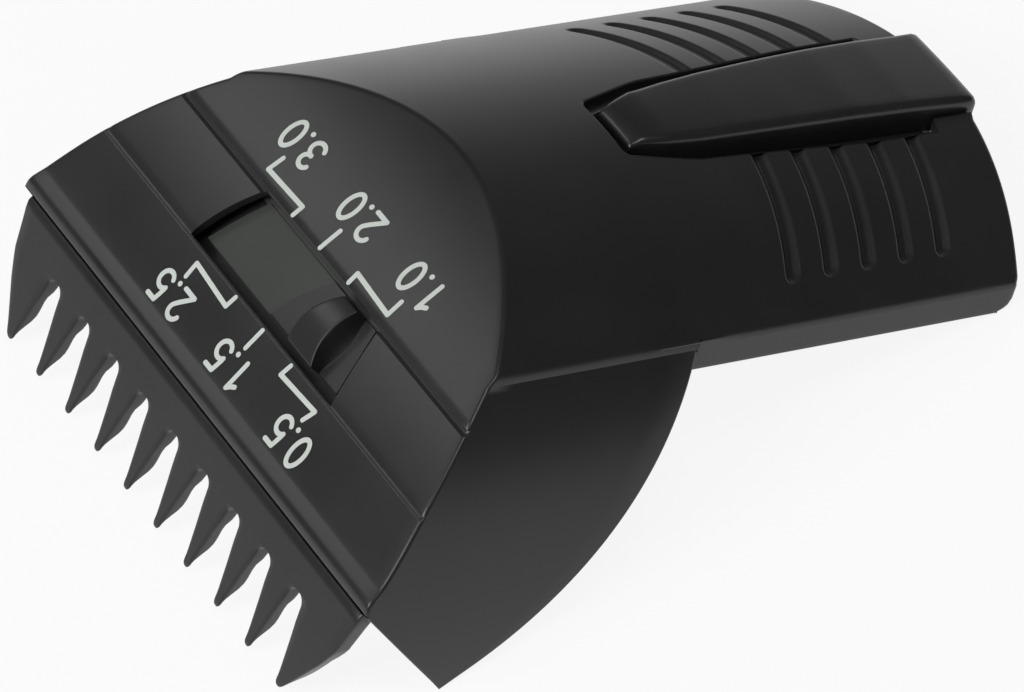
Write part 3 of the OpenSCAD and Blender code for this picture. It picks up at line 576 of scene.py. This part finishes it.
def build_sleeve(s):
    """The sleeve: dome with slot and grips, side rims, side strips, bottom and rear edges, inner dome and walls."""
    r_slot, r_end, r_foot = 0.13, 0.3, 0.15
    v, line, n, start = sleeve_rows()
    rim = 0.04 + 0.34 * ease((v - MEET_Y) / 6)
    pulled = line + r_slot * n
    # the last row ends short of the rear edge by its rounding
    skin = sleeve_skin(v, pulled, (SLEEVE_HALF - rim)[:, None], steps(0, 1, 100))
    taper = np.minimum(1, (skin[-1, :, 0] - pulled[-1, 0]) / 0.5) * r_end
    skin[-1, :, 1] -= taper
    depth = grip_depth(v, skin[..., 0])
    normal = unit(sheet(skin[..., 0], 0.0, skin[..., 2] - DOME_CZ))
    s.both(skin - normal * depth[..., None], [0.3, 0, 1])
    # dome in front of the sleeve, from the face's edge
    x = OUT_X[OUT_X <= SLEEVE_HALF - RIM_IN + 1e-6]
    x = np.unique(join([x[::8], x[-1:], x[:1]]))
    t = steps(0, 1, 8)[:, None]
    front = face_y(dome_z(x)) + EDGE_R
    s.both(sheet(x, front + (MEET_Y - front) * t, dome_z(x)), [0.3, 0, 1])
    # side rim and strip
    corner_z = dome_z(SLEEVE_HALF)
    side_y = join([[SIDE_Y, 21.5], skin[:-1, -1, 1], [end_y(corner_z) - r_end]])
    r = join([[0.04, 0.04], rim])
    a = sheet(SLEEVE_HALF - r, side_y, dome_z(SLEEVE_HALF - r))
    c = sheet(SLEEVE_HALF, side_y, corner_z + 0 * r)
    b = sheet(SLEEVE_HALF, side_y, corner_z - r)
    for corner in (a, c, b):
        corner[-1, 1] = end_y(corner[-1, 2]) - r_end
    s.both(bend(a[2:], c[2:], b[2:], 6), [1, 0, 1])
    z = b[:, 2] + (STRIP_Z + r_foot - b[:, 2]) * steps(0, 1, 9)[:, None]
    share = (side_y - SIDE_Y) / (side_y[-1] - SIDE_Y)
    y = SIDE_Y + (end_y(z) - r_end * np.clip((z - STRIP_Z) / 0.8, 0, 1) - SIDE_Y) * share
    strip = sheet(SLEEVE_HALF, y, z)
    s.both(strip, [1, 0, 0])
    # bottom edge
    outer = sheet(SLEEVE_HALF, strip[-1, :, 1], STRIP_Z)
    up = np.array([0, 0, 1.0])
    s.edge(outer, outer - np.array([WALL, 0, 0]), up, up, [0, 0, -1], r_foot)
    # inner wall and inner dome
    inner_z = dome_z(INNER_HALF, WALL)
    z = steps(STRIP_Z + r_foot, inner_z, 6)[:, None]
    s.both(sheet(INNER_HALF, SIDE_Y + (end_y(z) - SIDE_Y) * share, z), [-1, 0, 0])
    under = sleeve_skin(v, line, INNER_HALF, steps(0, 1, 20), WALL)
    under[-1, :, 1] = end_y(under[-1, :, 2])
    s.both(under, [-0.3, 0, -1])
    x = steps(0, INNER_HALF, 24)
    z = dome_z(x, WALL)
    s.both(sheet(x, face_y(z, WALL) + (MEET_Y - face_y(z, WALL)) * t, z), [-0.3, 0, -1])
    # slot edge
    x, y = line[start:].T
    pull = sheet(n[start:, 0], n[start:, 1], 0.0)
    s.edge(sheet(x, y, dome_z(x)), sheet(x, y, dome_z(x, WALL)), pull, pull * 0, -pull, r_slot)
    # rear edge: dome part, rim part, strip part
    z = join([dome_z(skin[-1, :, 0]), bend(a[-1], c[-1], b[-1], 6)[1:, 2], strip[1:, -1, 2], [STRIP_Z]])
    x = join([skin[-1, :, 0], bend(a[-1], c[-1], b[-1], 6)[1:, 0], np.full(9, SLEEVE_HALF)])
    outer = sheet(x, end_y(z), z)
    x = line[-1, 0] + (INNER_HALF - line[-1, 0]) * steps(0, 1, 100)
    x, z = (join([x, np.full(15, INNER_HALF)]),
            join([dome_z(x, WALL), np.full(6, inner_z), steps(inner_z, STRIP_Z, 9)]))
    reach = join([taper, np.full(6, r_end), r_end * np.clip((strip[1:, -1, 2] - STRIP_Z) / 0.8, 0, 1), [0]])
    s.edge(outer, sheet(x, end_y(z), z), np.array([0, -1.0, 0]), np.zeros(3), [0, 1, 0.3], reach)


def build_fittings(s):
    """Inside: two ribs along the inner dome, a short rib under each rear corner of the slot and a pair of rails
    in each cheek, as chamfered bars set into the walls."""
    top = float(dome_z(8.8, WALL))
    bars = [(8.8, 0.4, 17, 41, top - 0.5, top + 0.45), (3.75, 1.05, 45.4, 46.9, 12.9, 13.3),
            (17.6, 1.5, 3.4, 12.6, -0.38, 0.52), (17.6, 1.5, 3.4, 12.6, -2.72, -1.82)]
    for x, half, y0, y1, z0, z1 in bars:
        for side in (-1, 1):
            s.block((side * x - half, y0, z0), (side * x + half, y1, z1))


# ---- lever

def build_lever(s):
    """The release lever: rounded rectangular sections along its length, narrow at the nose and wide at the hinge,
    with a chamfered nose, and a small hook under the nose. Half width and top height are read from tables along y."""
    y0, y1 = 24.85, 48.9
    y = join([[y0, y0, y0 + 0.05, y0 + 0.2, y0 + 0.5, y0 + 0.75, y0 + 0.95, y0 + 1.2, y0 + 1.6],
              steps(27, 47, 41), [47.8, 48.35, 48.65, 48.8, y1, y1]])
    half = np.interp(y, [y0, 25.4, 27, 29.5, 32.4, 37, 41, 45, 48.4, 48.7, y1],
                     [1.72, 1.86, 2.36, 2.68, 2.9, 3.14, 3.3, 3.4, 3.45, 3.4, 3.2])[:, None]
    top = np.interp(y, [y0, y0 + 0.05, y0 + 0.2, y0 + 0.75, y0 + 1.2, 27, 32, 36, 40, 44, 47, 48.35, 48.65, 48.8, y1],
                    [14.7, 14.85, 15.0, 15.36, 15.47, 15.62, 15.85, 15.95, 16.0, 15.93, 15.78, 15.7, 15.6, 15.45,
                     15.2])[:, None]
    low = np.full((len(y), 1), 13.75)
    low[[0, -1]] += 0.2
    r = np.interp(y, [y0, 25.6, 28, 47, y1], [0.22, 0.4, 0.55, 0.55, 0.4])[:, None]
    r_foot = 0.12
    q = steps(0, math.pi / 2, 7)
    crown = steps(0, 1, 8)[:-1]
    one = np.ones(7)
    x = join([(half - r) * crown, half - r + r * np.sin(q), half * one[:3], half - r_foot + r_foot * np.cos(q[::2]),
              (half - r_foot) * crown[::-1]], 1)
    z = join([top * one + 0.05 * (1 - crown ** 2), top - r + r * np.cos(q),
              low + r_foot + (top - r - low - r_foot) * [0.75, 0.5, 0.25],
              low + r_foot - r_foot * np.sin(q[::2]),
              low * one], 1)
    loop = sheet(x, y[:, None], z)
    mid = sheet(0.0, y[:, None], (top + low) / 2)
    for end in (0, -1):
        loop[end] = mid[end] + (loop[end] - mid[end]) * 1e-3
    s.both(loop, loop - sheet(0.0, np.clip(loop[..., 1], y0 + 2, y1 - 2), 14.6))
    # the skirt that fills the slot under the lever
    y = join([[24.27, 24.27, 24.29, 24.34, 24.42, 24.55], steps(25, 45, 21), [45.1, 45.24, 45.24]])
    wide = np.interp(y, [24.27, 24.29, 24.34, 24.42, 24.55, 24.7], [1.95, 2.1, 2.25, 2.36, 2.44, 2.5])
    wide = np.where(y > 24.6, slot_half(y) - 0.16, wide)
    ring = sheet(np.outer(wide, [-1, -1, 0, 1, 1, 0, -1]), y[:, None], [13.5, 13.82, 13.82, 13.82, 13.5, 13.5, 13.5])
    core = sheet(0.0, np.clip(y, 25, 44.6), 13.66)[:, None]
    for end in (0, -1):
        foot = core[end] * [1, 0, 1] + [0, y[end], 0]
        ring[end] = foot + (ring[end] - foot) * 1e-3
    s.grid(ring, ring - core)
    # the stop and its hook
    s.block((-1.5, 25.65, 12.66), (1.5, 26.3, 13.8), 0.12)
    hook = np.array([[[x, 26.2, 12.7], [x, 26.25, 12.66], [x, 27.8, 13.76], [x, 26.2, 13.76]] for x in (-1.45, 1.45)])
    s.grid(hook, [0, 1, -1])
    for h, side in zip(hook, (-1, 1)):
        s.grid(np.array([[h[1], h[2]], [h[0], h[3]]]), [side, 0, 0])


# ---- comb

def build_comb(s):
    """The comb: rows down each tooth hold a left and a right edge, a front on the leaning plane and a back.
    Edges are the gaps' rounded roots and straight flanks, backs thin towards the tips; corners are rounded."""
    z = join([[-0.35, -0.42, -0.55, -1.0, -1.6, -2.2, -2.6], ROOT_Z + ROOT_R * np.sin(steps(math.pi / 2, 0, 9)),
              [-3.8, -4.2, -4.6, -5.0, -5.4, -5.8, -6.2, -6.6, -7.0, -7.35, -7.6, -7.8, -7.92, -8.0, -8.05]])
    root = 7
    gap = np.where(z > ROOT_Z, np.sqrt(np.maximum(ROOT_R ** 2 - (z - ROOT_Z) ** 2, 0)),
                   np.interp(-z, [-ROOT_Z, 4.2, 5.2, 7.4, 8.05], [ROOT_R, 0.83, 1.03, 1.42, 1.53]))
    gap[:root + 1] = 0
    tip = np.sqrt(np.maximum(1 - np.clip((-7.8 - z) / 0.25, 0, 1) ** 2, 0.0))
    front = (z + 0.74) * math.tan(COMB_LEAN)
    back = np.interp(-z, [0.35, 0.8, 4.05, 4.7, 5.4, 6.1, 6.7, 7.2, 7.6, 8.05],
                     [1.17, 1.09, 0.47, 0.02, -0.02, -0.08, -0.38, -0.86, -1.12, -1.26])
    centre, deep = (back + front) / 2, (back - front) / 2 * np.maximum(tip, 0.05)
    rim = 0.12 * (1 - np.clip((-0.35 - z) / 0.2, 0, 1))
    f, bk = (centre - deep + rim)[:, None], (centre + deep - rim)[:, None]
    end_x = np.interp(-z, -END_LINE[:, 0], END_LINE[:, 1])
    q = steps(0, math.pi / 2, 4)[1:]
    sin, cos = np.sin(q), np.cos(q)
    seven, five = steps(0, 1, 7), steps(0, 1, 5)
    whole, below = np.full(len(z), COMB_EDGE_R), np.where(np.arange(len(z)) > root, COMB_EDGE_R, 0.0)
    for i in range(TEETH):
        first, last = i == 0, i == TEETH - 1
        c = (i - (TEETH - 1) / 2) * PITCH
        left = -end_x if first else c - PITCH / 2 + gap
        right = end_x if last else c + PITCH / 2 - gap
        mid = (left + right) / 2
        left, right = (mid + (edge - mid) * np.maximum(tip, 0.02) for edge in (left, right))
        limit = np.minimum(0.45 * (right - left), 0.8 * deep)
        rl, rr = (np.minimum(whole if outside else below, limit)[:, None] for outside in (first, last))
        left, right = left[:, None], right[:, None]
        a, b = left + rl, right - rr
        x = join([a + (b - a) * seven, b + rr * sin, right + 0 * five, b + rr * cos, b + (a - b) * seven,
                  a - rl * sin, left + 0 * five, a - rl * cos], 1)
        y = join([f + 0 * seven, f + rr - rr * cos, f + rr + (bk - f - 2 * rr) * five, bk - rr + rr * sin,
                  bk + 0 * seven, bk - rl + rl * cos, bk - rl + (f - bk + 2 * rl) * five,
                  f + rl - rl * sin], 1)
        p = sheet(x, y, z[:, None])
        # no side faces above the roots, where the teeth are one bar
        keep = np.ones((len(z) - 1, p.shape[1] - 1), bool)
        if not last:
            keep[:root, 6:16] = False
        if not first:
            keep[:root, 22:] = False
        core = sheet(mid, centre, z)
        s.grid(p, p - core[:, None], keep)
        for end, up in ((0, 1), (-1, -1)):
            s.grid(np.array([p[end], core[end] + 0 * p[end]]), [0, 0, up])


# ---- slider

def foot_x(b):
    """Where the thumb piece's thin front edge lies on the shutter, at b up the band."""
    return -0.46 + 0.0815 * b ** 2


def build_button(s):
    """The thumb piece: heights over the window's right part, in rows along x at one b each. A thin foot, a steep front,
    the nub's flat arch, high = 0.46 - (b - 2.7)^2 / 10.2, a hollow wall behind its crest, and a flat scoop that ends
    under the face on a line, a slit before the slope of the window's end."""
    b = join([[THUMB_LOW, THUMB_LOW + 0.015], steps(THUMB_LOW + 0.05, THUMB_HIGH - 0.05, 49),
              [THUMB_HIGH - 0.015, THUMB_HIGH]])
    w = (b - THUMB_LOW) / (THUMB_HIGH - THUMB_LOW)
    arch = 4 * w * (1 - w)
    high = 0.46 - (b - 2.7) ** 2 / 10.2
    foot, end = foot_x(b), 7.17 - 0.32 * b
    nub = 2.18 + 0.165 * (b - 2) ** 2 + 0.77 * (high - 0.3)
    crest = 4.42 + np.where(b < 2.7, 0.185, 0.11) * (b - 2.7) ** 2 + 0.77 * (high - 0.35)
    belly = crest + 0.06 + 0.62 * arch ** 1.6
    side = np.clip(np.minimum(b - THUMB_LOW, THUMB_HIGH - b) / 0.05, 0, 1)
    soft = 0.05 * (1 - np.sqrt(np.maximum(1 - (1 - side) ** 2, 0)))
    low = PLATE_H + 0 * b
    # each stretch: where it ends in x, its height there, its steps and how far it bulges
    stretches = ((foot + 0.05, low + 0.02, 2, 0.0), (nub - 0.42, low + 0.06, 5, 0.0), (nub, high - 0.07, 5, 0.03),
                 (nub + 0.16, high, 4, 0.02), (crest - 0.06, high, 8, 0.0), (crest, high - 0.04, 4, 0.01),
                 (belly, low, 14, -0.26 * arch), (end, low, 8, 0.0))
    xs, hs = [], []
    x0, h0 = foot, low - 0.06
    for x1, h1, n, bulge in stretches:
        k = steps(0, 1, n + 1)[:-1]
        xs.append(x0[:, None] + (x1 - x0)[:, None] * k)
        hs.append(h0[:, None] + (h1 - h0)[:, None] * k + np.outer(np.broadcast_to(bulge, b.shape), np.sin(np.pi * k)))
        x0, h0 = x1, h1
    x = join([*xs, end[:, None]], 1)
    h = join([*hs, low[:, None]], 1) - soft[:, None]
    top, base = on_band(x, b[:, None], h), on_band(x, b[:, None], -1.2)
    s.grid(top, BAND_OUT)
    s.grid(base, -BAND_OUT)
    for i, out in ((0, -BAND_UP), (-1, BAND_UP)):
        s.grid(np.array([top[i], base[i]]), out)
    for i, out in ((0, -1), (-1, 1)):
        s.grid(np.array([top[:, i], base[:, i]]), [out, 0, 0])


def plank(s, x0, x1, b, low, high, r=0.05):
    """A plate in the band's axes between the edges x0 and x1, which run with b, from height low to high,
    with its upper corners cut off by r and both ends closed to a point inside them."""
    x = np.stack([x0, x0, x0 + r, x1 - r, x1, x1, x0], 1)
    ring = on_band(x, b[:, None], [low, high - r, high, high, high - r, low, low])
    core = on_band((x0 + x1) / 2, b, (low + high) / 2)[:, None]
    ring = join([core[:1] + 0 * ring[:1], ring, core[-1:] + 0 * ring[:1]])
    s.grid(ring, ring - on_band((x0 + x1).mean() / 2, b.mean(), (low + high) / 2))


def build_shutter(s):
    """The slider plate: the shutter beside the thumb piece, the tail on its other side, the arm through the
    retainer and the stalk that carries the cam pin."""
    b = steps(THUMB_LOW - 0.02, THUMB_HIGH - 0.02, 24)
    plank(s, -7.9 + 0.34 * b - 0.1 * np.sin(np.pi * b / BAND_W), foot_x(b) + 0.3, b, -1.35, -0.97)
    plank(s, foot_x(b) + 0.3, 16.2 - 0.29 * b, b, -1.35, -1.18)
    b = steps(THUMB_HIGH - 0.2, BAND_W + 0.45, 4)
    plank(s, -8.4 + 0.29 * b, 16.2 - 0.29 * b, b, -1.34, -1.06, 0.03)
    b = BAND_W / 2 + np.array([-1.2, 1.2])
    plank(s, np.full(2, 2.425), np.full(2, 5.425), b, -3.57, -1.3)
    s.block((2.575, 5.8, 1.2), (5.275, 8.45, 4.2))


# ---- scale

def stroke(s, path, half=STROKE, closed=False, lift=0.018):
    """A printed line on the face: the path (x, run) widened by half to both sides, with round ends.
    Across it the section is a low plateau whose skirts sink into the face."""
    p = np.asarray(path, float)
    if closed:
        d = unit(np.gradient(join([p[-2:-1], p, p[1:2]]), axis=0)[1:-1])
        width = np.full(len(p), half)
    else:
        d = unit(np.gradient(p, axis=0))
        a = steps(0, math.pi / 2, 6)[:-1]
        out, wide = half * np.cos(a)[:, None], half * np.sin(a)
        p = join([p[0] - d[0] * out, p, p[-1] + d[-1] * out[::-1]])
        width = np.maximum(join([wide, np.full(len(d), half), wide[::-1]]), 0.004)
        d = join([np.repeat(d[:1], 5, 0), d, np.repeat(d[-1:], 5, 0)])
    n = np.stack([-d[:, 1], d[:, 0]], -1)
    offsets = np.array([-1, -1, -0.5, 0, 0.5, 1, 1])
    lifts = np.array([-0.03, lift - 0.004, lift, lift, lift, lift - 0.004, -0.03])
    q = p[:, None] + n[:, None] * (width[:, None] * offsets)[..., None]
    s.grid(on_face(q[..., 0], q[..., 1], lifts), BAND_OUT)


def arc(cx, cy, rx, ry, a0, a1, n=20):
    """Points on an ellipse's arc from angle a0 to a1 in degrees."""
    a = np.radians(steps(a0, a1, n))
    return np.stack([cx + rx * np.cos(a), cy + ry * np.sin(a)], -1)


def digit_paths():
    """Plain light numerals about their centres, a to the right and b up. Each is a list of paths with their lift steps.
    k is half a numeral's height less half the stroke."""
    k = 1.05
    two = join([arc(0.0, k - 0.55, 0.54, 0.55, 165, -35), [[0.2, -0.15], [-0.2, -0.62], [-0.56, -k]]])
    return {
        "0": [(arc(0, 0, 0.56, k, 0, 360, 40), 0)],
        "1": [([(0.12, -k), (0.12, 0.0), (0.12, k)], 0), ([(0.12, k), (-0.12, k - 0.28), (-0.4, k - 0.46)], 1)],
        "2": [(two, 0), ([(-0.56, -k), (0, -k), (0.56, -k)], 1)],
        "3": [(arc(-0.03, k - 0.5, 0.5, 0.5, 155, -90), 0), (arc(-0.04, -k + 0.56, 0.57, 0.56, 90, -155, 22), 2)],
        "5": [([(0.42, k), (0, k), (-0.36, k)], 0), ([(-0.36, k), (-0.41, 0.6), (-0.46, 0.12)], 1),
              (arc(-0.02, -k + 0.63, 0.57, 0.63, 140, -150, 24), 2)],
    }


def build_scale(s):
    """The scale: tick lines and brackets beside the window and the numbers 0.5 to 3.0, on the face's own curve."""
    marks = [[(-3.8, 8.85), (-3.77, 9.42), (-7.52, 9.33), (-7.41, 10.08)], [(-0.7, 8.85), (-0.65, 9.97)],
             [(2.54, 8.82), (2.48, 9.42), (6.12, 9.29), (6.07, 10.04)],
             [(-2.35, 4.99), (-2.42, 4.1), (-6.16, 4.31), (-6.09, 3.52)],
             [(0.75, 4.82), (0.73, 3.59)], [(4.0, 4.9), (3.91, 4.1), (7.54, 4.24), (7.29, 3.56)]]
    for m in marks:
        m = np.array([(x, run_of(z)) for x, z in m])
        m[0, 1] = run_of(GROOVE_LOW) - 0.36 if m[0, 1] < run_of(6.8) else run_of(GROOVE_HIGH) + 0.36
        for j in range(len(m) - 1):
            stroke(s, m[j] + (m[j + 1] - m[j]) * steps(0, 1, 8)[:, None], 0.15, lift=0.018 + 0.0015 * (j % 2))
    places = {"3.0": (-7.29, 11.0), "2.0": (-0.48, 10.93), "1.0": (6.14, 10.98),
              "2.5": (-5.99, 2.4), "1.5": (0.7, 2.45), "0.5": (7.6, 2.43)}
    paths = digit_paths()
    for word, (x, z) in places.items():
        at = np.array([x, run_of(z)])
        for ch, a in zip(word, (-1.05, 0.03, 1.02)):
            if ch == ".":
                stroke(s, at - [[a - 0.001, -0.84], [a, -0.84], [a + 0.001, -0.84]], 0.17)
                continue
            for path, step in paths[ch]:
                stroke(s, at - (np.asarray(path) * NUMERAL + [a, 0]), STROKE, ch == "0", 0.018 + 0.0015 * step)


# ---- stage

def bright_share(tree, place, toward, near, far, low=0.0, high=1.0):
    """How much of the plain bright background a ray sees: all of it for camera and transmission rays, and for glossy
    rays a smooth ramp from low to high as place . toward goes from near to far."""
    rays = add(tree, "LightPath").outputs
    along = add(tree, "VectorMath", {0: place, 1: toward}, operation="DOT_PRODUCT")
    ramp = add(tree, "MapRange", {"Value": along.outputs["Value"], "From Min": near, "From Max": far,
                                  "To Min": low, "To Max": high}, interpolation_type="SMOOTHSTEP")
    seen = maths(tree, "MAXIMUM", rays["Is Camera Ray"], rays["Is Transmission Ray"])
    return maths(tree, "MAXIMUM", seen, maths(tree, "MULTIPLY", rays["Is Glossy Ray"], ramp.outputs["Result"]))


def build_floor():
    """A wide pale floor just under the part."""
    floor = bpy.data.meshes.new("studio_floor")
    side = steps(-1.5, 1.5, 3)
    points = sheet(side[:, None], side, -0.00002).reshape(-1, 3)
    i = np.arange(9).reshape(3, 3)
    floor.from_pydata(points, [], np.stack([i[:-1, :-1], i[1:, :-1], i[1:, 1:], i[:-1, 1:]], -1).reshape(-1, 4))
    m = bpy.data.materials.new("pale_floor")
    nt = empty_tree(m)
    paint = add(nt, "BsdfDiffuse", {"Color": (0.82, 0.82, 0.82, 1)})
    place = add(nt, "TexCoord").outputs["Object"]
    bright = maths(nt, "MULTIPLY", bright_share(nt, place, (0.35, 0.93, 0.0), -0.07, -0.015, low=0.2), 0.9)
    mix = add(nt, "MixShader", {0: bright, 1: paint.outputs[0], 2: add(nt, "Emission").outputs[0]})
    add(nt, "OutputMaterial", {0: mix.outputs[0]})
    floor.materials.append(m)
    linked("studio_floor", floor)


def build_world():
    """White for the camera; for the other rays a dim room that brightens on one side in reflections."""
    world = bpy.data.worlds.new("studio_world")
    nt = empty_tree(world)
    dim = add(nt, "Background", {"Strength": 0.13})
    place = add(nt, "TexCoord").outputs["Generated"]
    bright = bright_share(nt, place, (-0.55, 0.45, -0.70), 0.25, 0.75, high=0.8)
    mix = add(nt, "MixShader", {0: bright, 1: dim.outputs[0], 2: add(nt, "Background").outputs[0]})
    add(nt, "OutputWorld", {0: mix.outputs[0]})
    bpy.context.scene.world = world


def set_place(o, right, up, back, place):
    """Gives an object its three axes and its place."""
    m = np.eye(4)
    m[:3, 0], m[:3, 1], m[:3, 2], m[:3, 3] = right, up, back, place
    o.matrix_world = Matrix(m.tolist())


def build_lamp(name, place, side, power):
    """A square softbox that faces the part."""
    data = bpy.data.lights.new(name, "AREA")
    data.shape = "RECTANGLE"
    data.size = data.size_y = side
    data.energy = power
    back = unit(np.array(place) - np.array([0, 0, 0.01]))
    right = unit(np.cross([0, 0, 1.0], back))
    set_place(linked(name, data), right, np.cross(back, right), back, place)


def build_camera():
    """The camera, a long lens from the front right."""
    data = bpy.data.cameras.new("studio_camera")
    data.sensor_width = 36.0
    data.sensor_fit = "HORIZONTAL"
    data.lens = 252.38
    data.clip_start = 0.01
    rig = linked("studio_camera", data)
    set_place(rig, (0.512907, 0.856166, -0.0625), (-0.61092, 0.415195, 0.674084), (0.603078, -0.30756, 0.736005),
              (0.25324419113, -0.13203825825, 0.30812754412))
    bpy.context.scene.camera = rig


# ---- settings

def colour_prop(name, text, default):
    """A colour setting shown as a swatch."""
    return bpy.props.FloatVectorProperty(name=name, description=text, default=default, subtype="COLOR", size=3,
                                         min=0, max=1)


def share_prop(name, text, default, low, high):
    """A number setting shown as a slider."""
    return bpy.props.FloatProperty(name=name, description=text, default=default, min=low, max=high, subtype="FACTOR")


class COMBCLIP_PG_finish(bpy.types.PropertyGroup):
    """Colours and gloss of the mouldings."""
    shell: colour_prop("Housing", "Colour of the housing and the lever", (0.018, 0.018, 0.0185))
    comb: colour_prop("Comb", "Colour of the toothed comb", (0.017, 0.0174, 0.0166))
    shutter: colour_prop("Shutter", "Colour of the slider plate", (0.034, 0.038, 0.033))
    button: colour_prop("Button", "Colour of the thumb piece", (0.018, 0.0184, 0.018))
    inside: colour_prop("Inner mouldings", "Colour of the carriage and the retainer", (0.016, 0.016, 0.0165))
    steel: colour_prop("Steel", "Colour of screws, pins and spring", (0.55, 0.55, 0.57))
    pads: colour_prop("Pads", "Colour of the soft strips", (0.03, 0.03, 0.031))
    print: colour_prop("Scale", "Colour of the printed scale", (0.62, 0.66, 0.62))
    roughness: share_prop("Roughness", "Roughness of the satin plastic", 0.31, 0.1, 0.9)


class COMBCLIP_PG_stage(bpy.types.PropertyGroup):
    """Strength of the studio lamps."""
    key: share_prop("Key", "Strength of the key softbox", 1.0, 0, 5)
    fill: share_prop("Fill", "Strength of the side and top softboxes", 1.0, 0, 5)


class COMBCLIP_OT_housing(bpy.types.Operator):
    """Make the housing"""
    bl_idname = "combclip.housing"
    bl_label = "Housing"

    def execute(self, context):
        f = context.scene.combclip_finish
        s = Surface(build_face, build_cheeks, build_sleeve, build_fittings)
        m = finish_material("satin_housing", f.shell, 0.25, f.roughness, bump=0.25)
        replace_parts(s.piece("housing", m, "housing"), "housing_shell")
        return {"FINISHED"}


class COMBCLIP_OT_scale(bpy.types.Operator):
    """Print the scale on the housing's face"""
    bl_idname = "combclip.scale"
    bl_label = "Scale"

    def execute(self, context):
        f = context.scene.combclip_finish
        m = finish_material("scale_print", f.print, 0.04, 0.6, drift=0.05, bump=0.1, spec=0.3)
        Surface(build_scale).piece("scale_marks", m, "housing", welded=1e-8)
        return {"FINISHED"}


class COMBCLIP_OT_lever(bpy.types.Operator):
    """Make the release lever"""
    bl_idname = "combclip.lever"
    bl_label = "Release lever"

    def execute(self, context):
        f = context.scene.combclip_finish
        m = finish_material("satin_lever", f.shell, 0.25, f.roughness - 0.04, bump=0.25)
        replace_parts(Surface(build_lever).piece("lever", m, "lever", 40), "release_lever")
        return {"FINISHED"}


class COMBCLIP_OT_comb(bpy.types.Operator):
    """Make the toothed comb"""
    bl_idname = "combclip.comb"
    bl_label = "Comb"

    def execute(self, context):
        f = context.scene.combclip_finish
        m = finish_material("satin_comb", f.comb, 0.2, f.roughness)
        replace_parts(Surface(build_comb).piece("toothed_comb", m, "comb_unit", 40), "comb")
        return {"FINISHED"}


class COMBCLIP_OT_slider(bpy.types.Operator):
    """Make the thumb piece and the shutter plate of the slider"""
    bl_idname = "combclip.slider"
    bl_label = "Thumb piece"

    def execute(self, context):
        f = context.scene.combclip_finish
        m = finish_material("fine_button", f.button, 0.2, f.roughness, drift=0.06)
        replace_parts(Surface(build_button).piece("thumb_piece", m, "slider", 24), "thumb_button")
        m = finish_material("fine_shutter", f.shutter, 0.15, 0.45, drift=0.06)
        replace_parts(Surface(build_shutter).piece("shutter", m, "slider", 30), "slider_plate")
        return {"FINISHED"}


class COMBCLIP_OT_details(bpy.types.Operator):
    """Give the constructed inner parts their finishes"""
    bl_idname = "combclip.details"
    bl_label = "Inner parts"

    def execute(self, context):
        f = context.scene.combclip_finish
        steel = finish_material("plain_steel", f.steel, 0.1, 0.32, drift=0.15, grain=5000, bump=0.15, metal=1.0)
        inside = finish_material("plain_moulding", f.inside, 0.25, 0.5, drift=0.1)
        soft = finish_material("soft_strip", f.pads, 0.3, 0.8, drift=0.1, grain=4000, bump=0.5)
        used = {inside: ("slider_retainer", "comb_carriage"), soft: ("fit_pads",),
                steel: ("retainer_screws", "comb_screws", "cam_pin", "detent_spring", "lever_pin")}
        for m, names in used.items():
            for name in names:
                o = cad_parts[name]
                if not o.material_slots:
                    o.data.materials.append(m)
                for place in o.material_slots:
                    place.material = m
        return {"FINISHED"}


class COMBCLIP_OT_stage(bpy.types.Operator):
    """Set up the floor, lamps, world and camera"""
    bl_idname = "combclip.stage"
    bl_label = "Stage"

    def execute(self, context):
        p = context.scene.combclip_stage
        build_floor()
        build_world()
        build_lamp("key_softbox", (0.0, -0.54, 0.45), 0.4, 3.15 * p.key)
        build_lamp("side_softbox", (-0.504, -0.268, 0.565), 0.22, 0.38 * p.fill)
        build_lamp("top_softbox", (0.2, 0.0, 0.79), 0.3, 1.35 * p.fill)
        build_camera()
        context.scene.view_settings.view_transform = "Standard"
        return {"FINISHED"}


STEPS = (COMBCLIP_OT_housing, COMBCLIP_OT_scale, COMBCLIP_OT_lever, COMBCLIP_OT_comb, COMBCLIP_OT_slider,
         COMBCLIP_OT_details, COMBCLIP_OT_stage)


class COMBCLIP_PT_panel(bpy.types.Panel):
    """Pieces and settings of the clipper comb"""
    bl_label = "Clipper comb"
    bl_idname = "COMBCLIP_PT_panel"
    bl_space_type = "VIEW_3D"
    bl_region_type = "UI"
    bl_category = "Clipper comb"

    def draw(self, context):
        for group in (context.scene.combclip_finish, context.scene.combclip_stage):
            for key in group.bl_rna.properties.keys():
                if key not in ("rna_type", "name"):
                    self.layout.prop(group, key)
        for step in STEPS:
            self.layout.operator(step.bl_idname)


CLASSES = (COMBCLIP_PG_finish, COMBCLIP_PG_stage) + STEPS + (COMBCLIP_PT_panel,)


def register():
    for c in CLASSES:
        bpy.utils.register_class(c)
    bpy.types.Scene.combclip_finish = bpy.props.PointerProperty(type=COMBCLIP_PG_finish)
    bpy.types.Scene.combclip_stage = bpy.props.PointerProperty(type=COMBCLIP_PG_stage)


def unregister():
    del bpy.types.Scene.combclip_stage
    del bpy.types.Scene.combclip_finish
    for c in reversed(CLASSES):
        bpy.utils.unregister_class(c)


def main():
    register()
    for step in STEPS:
        group, name = step.bl_idname.split(".")
        getattr(getattr(bpy.ops, group), name)()


if __name__ == "__main__":
    main()
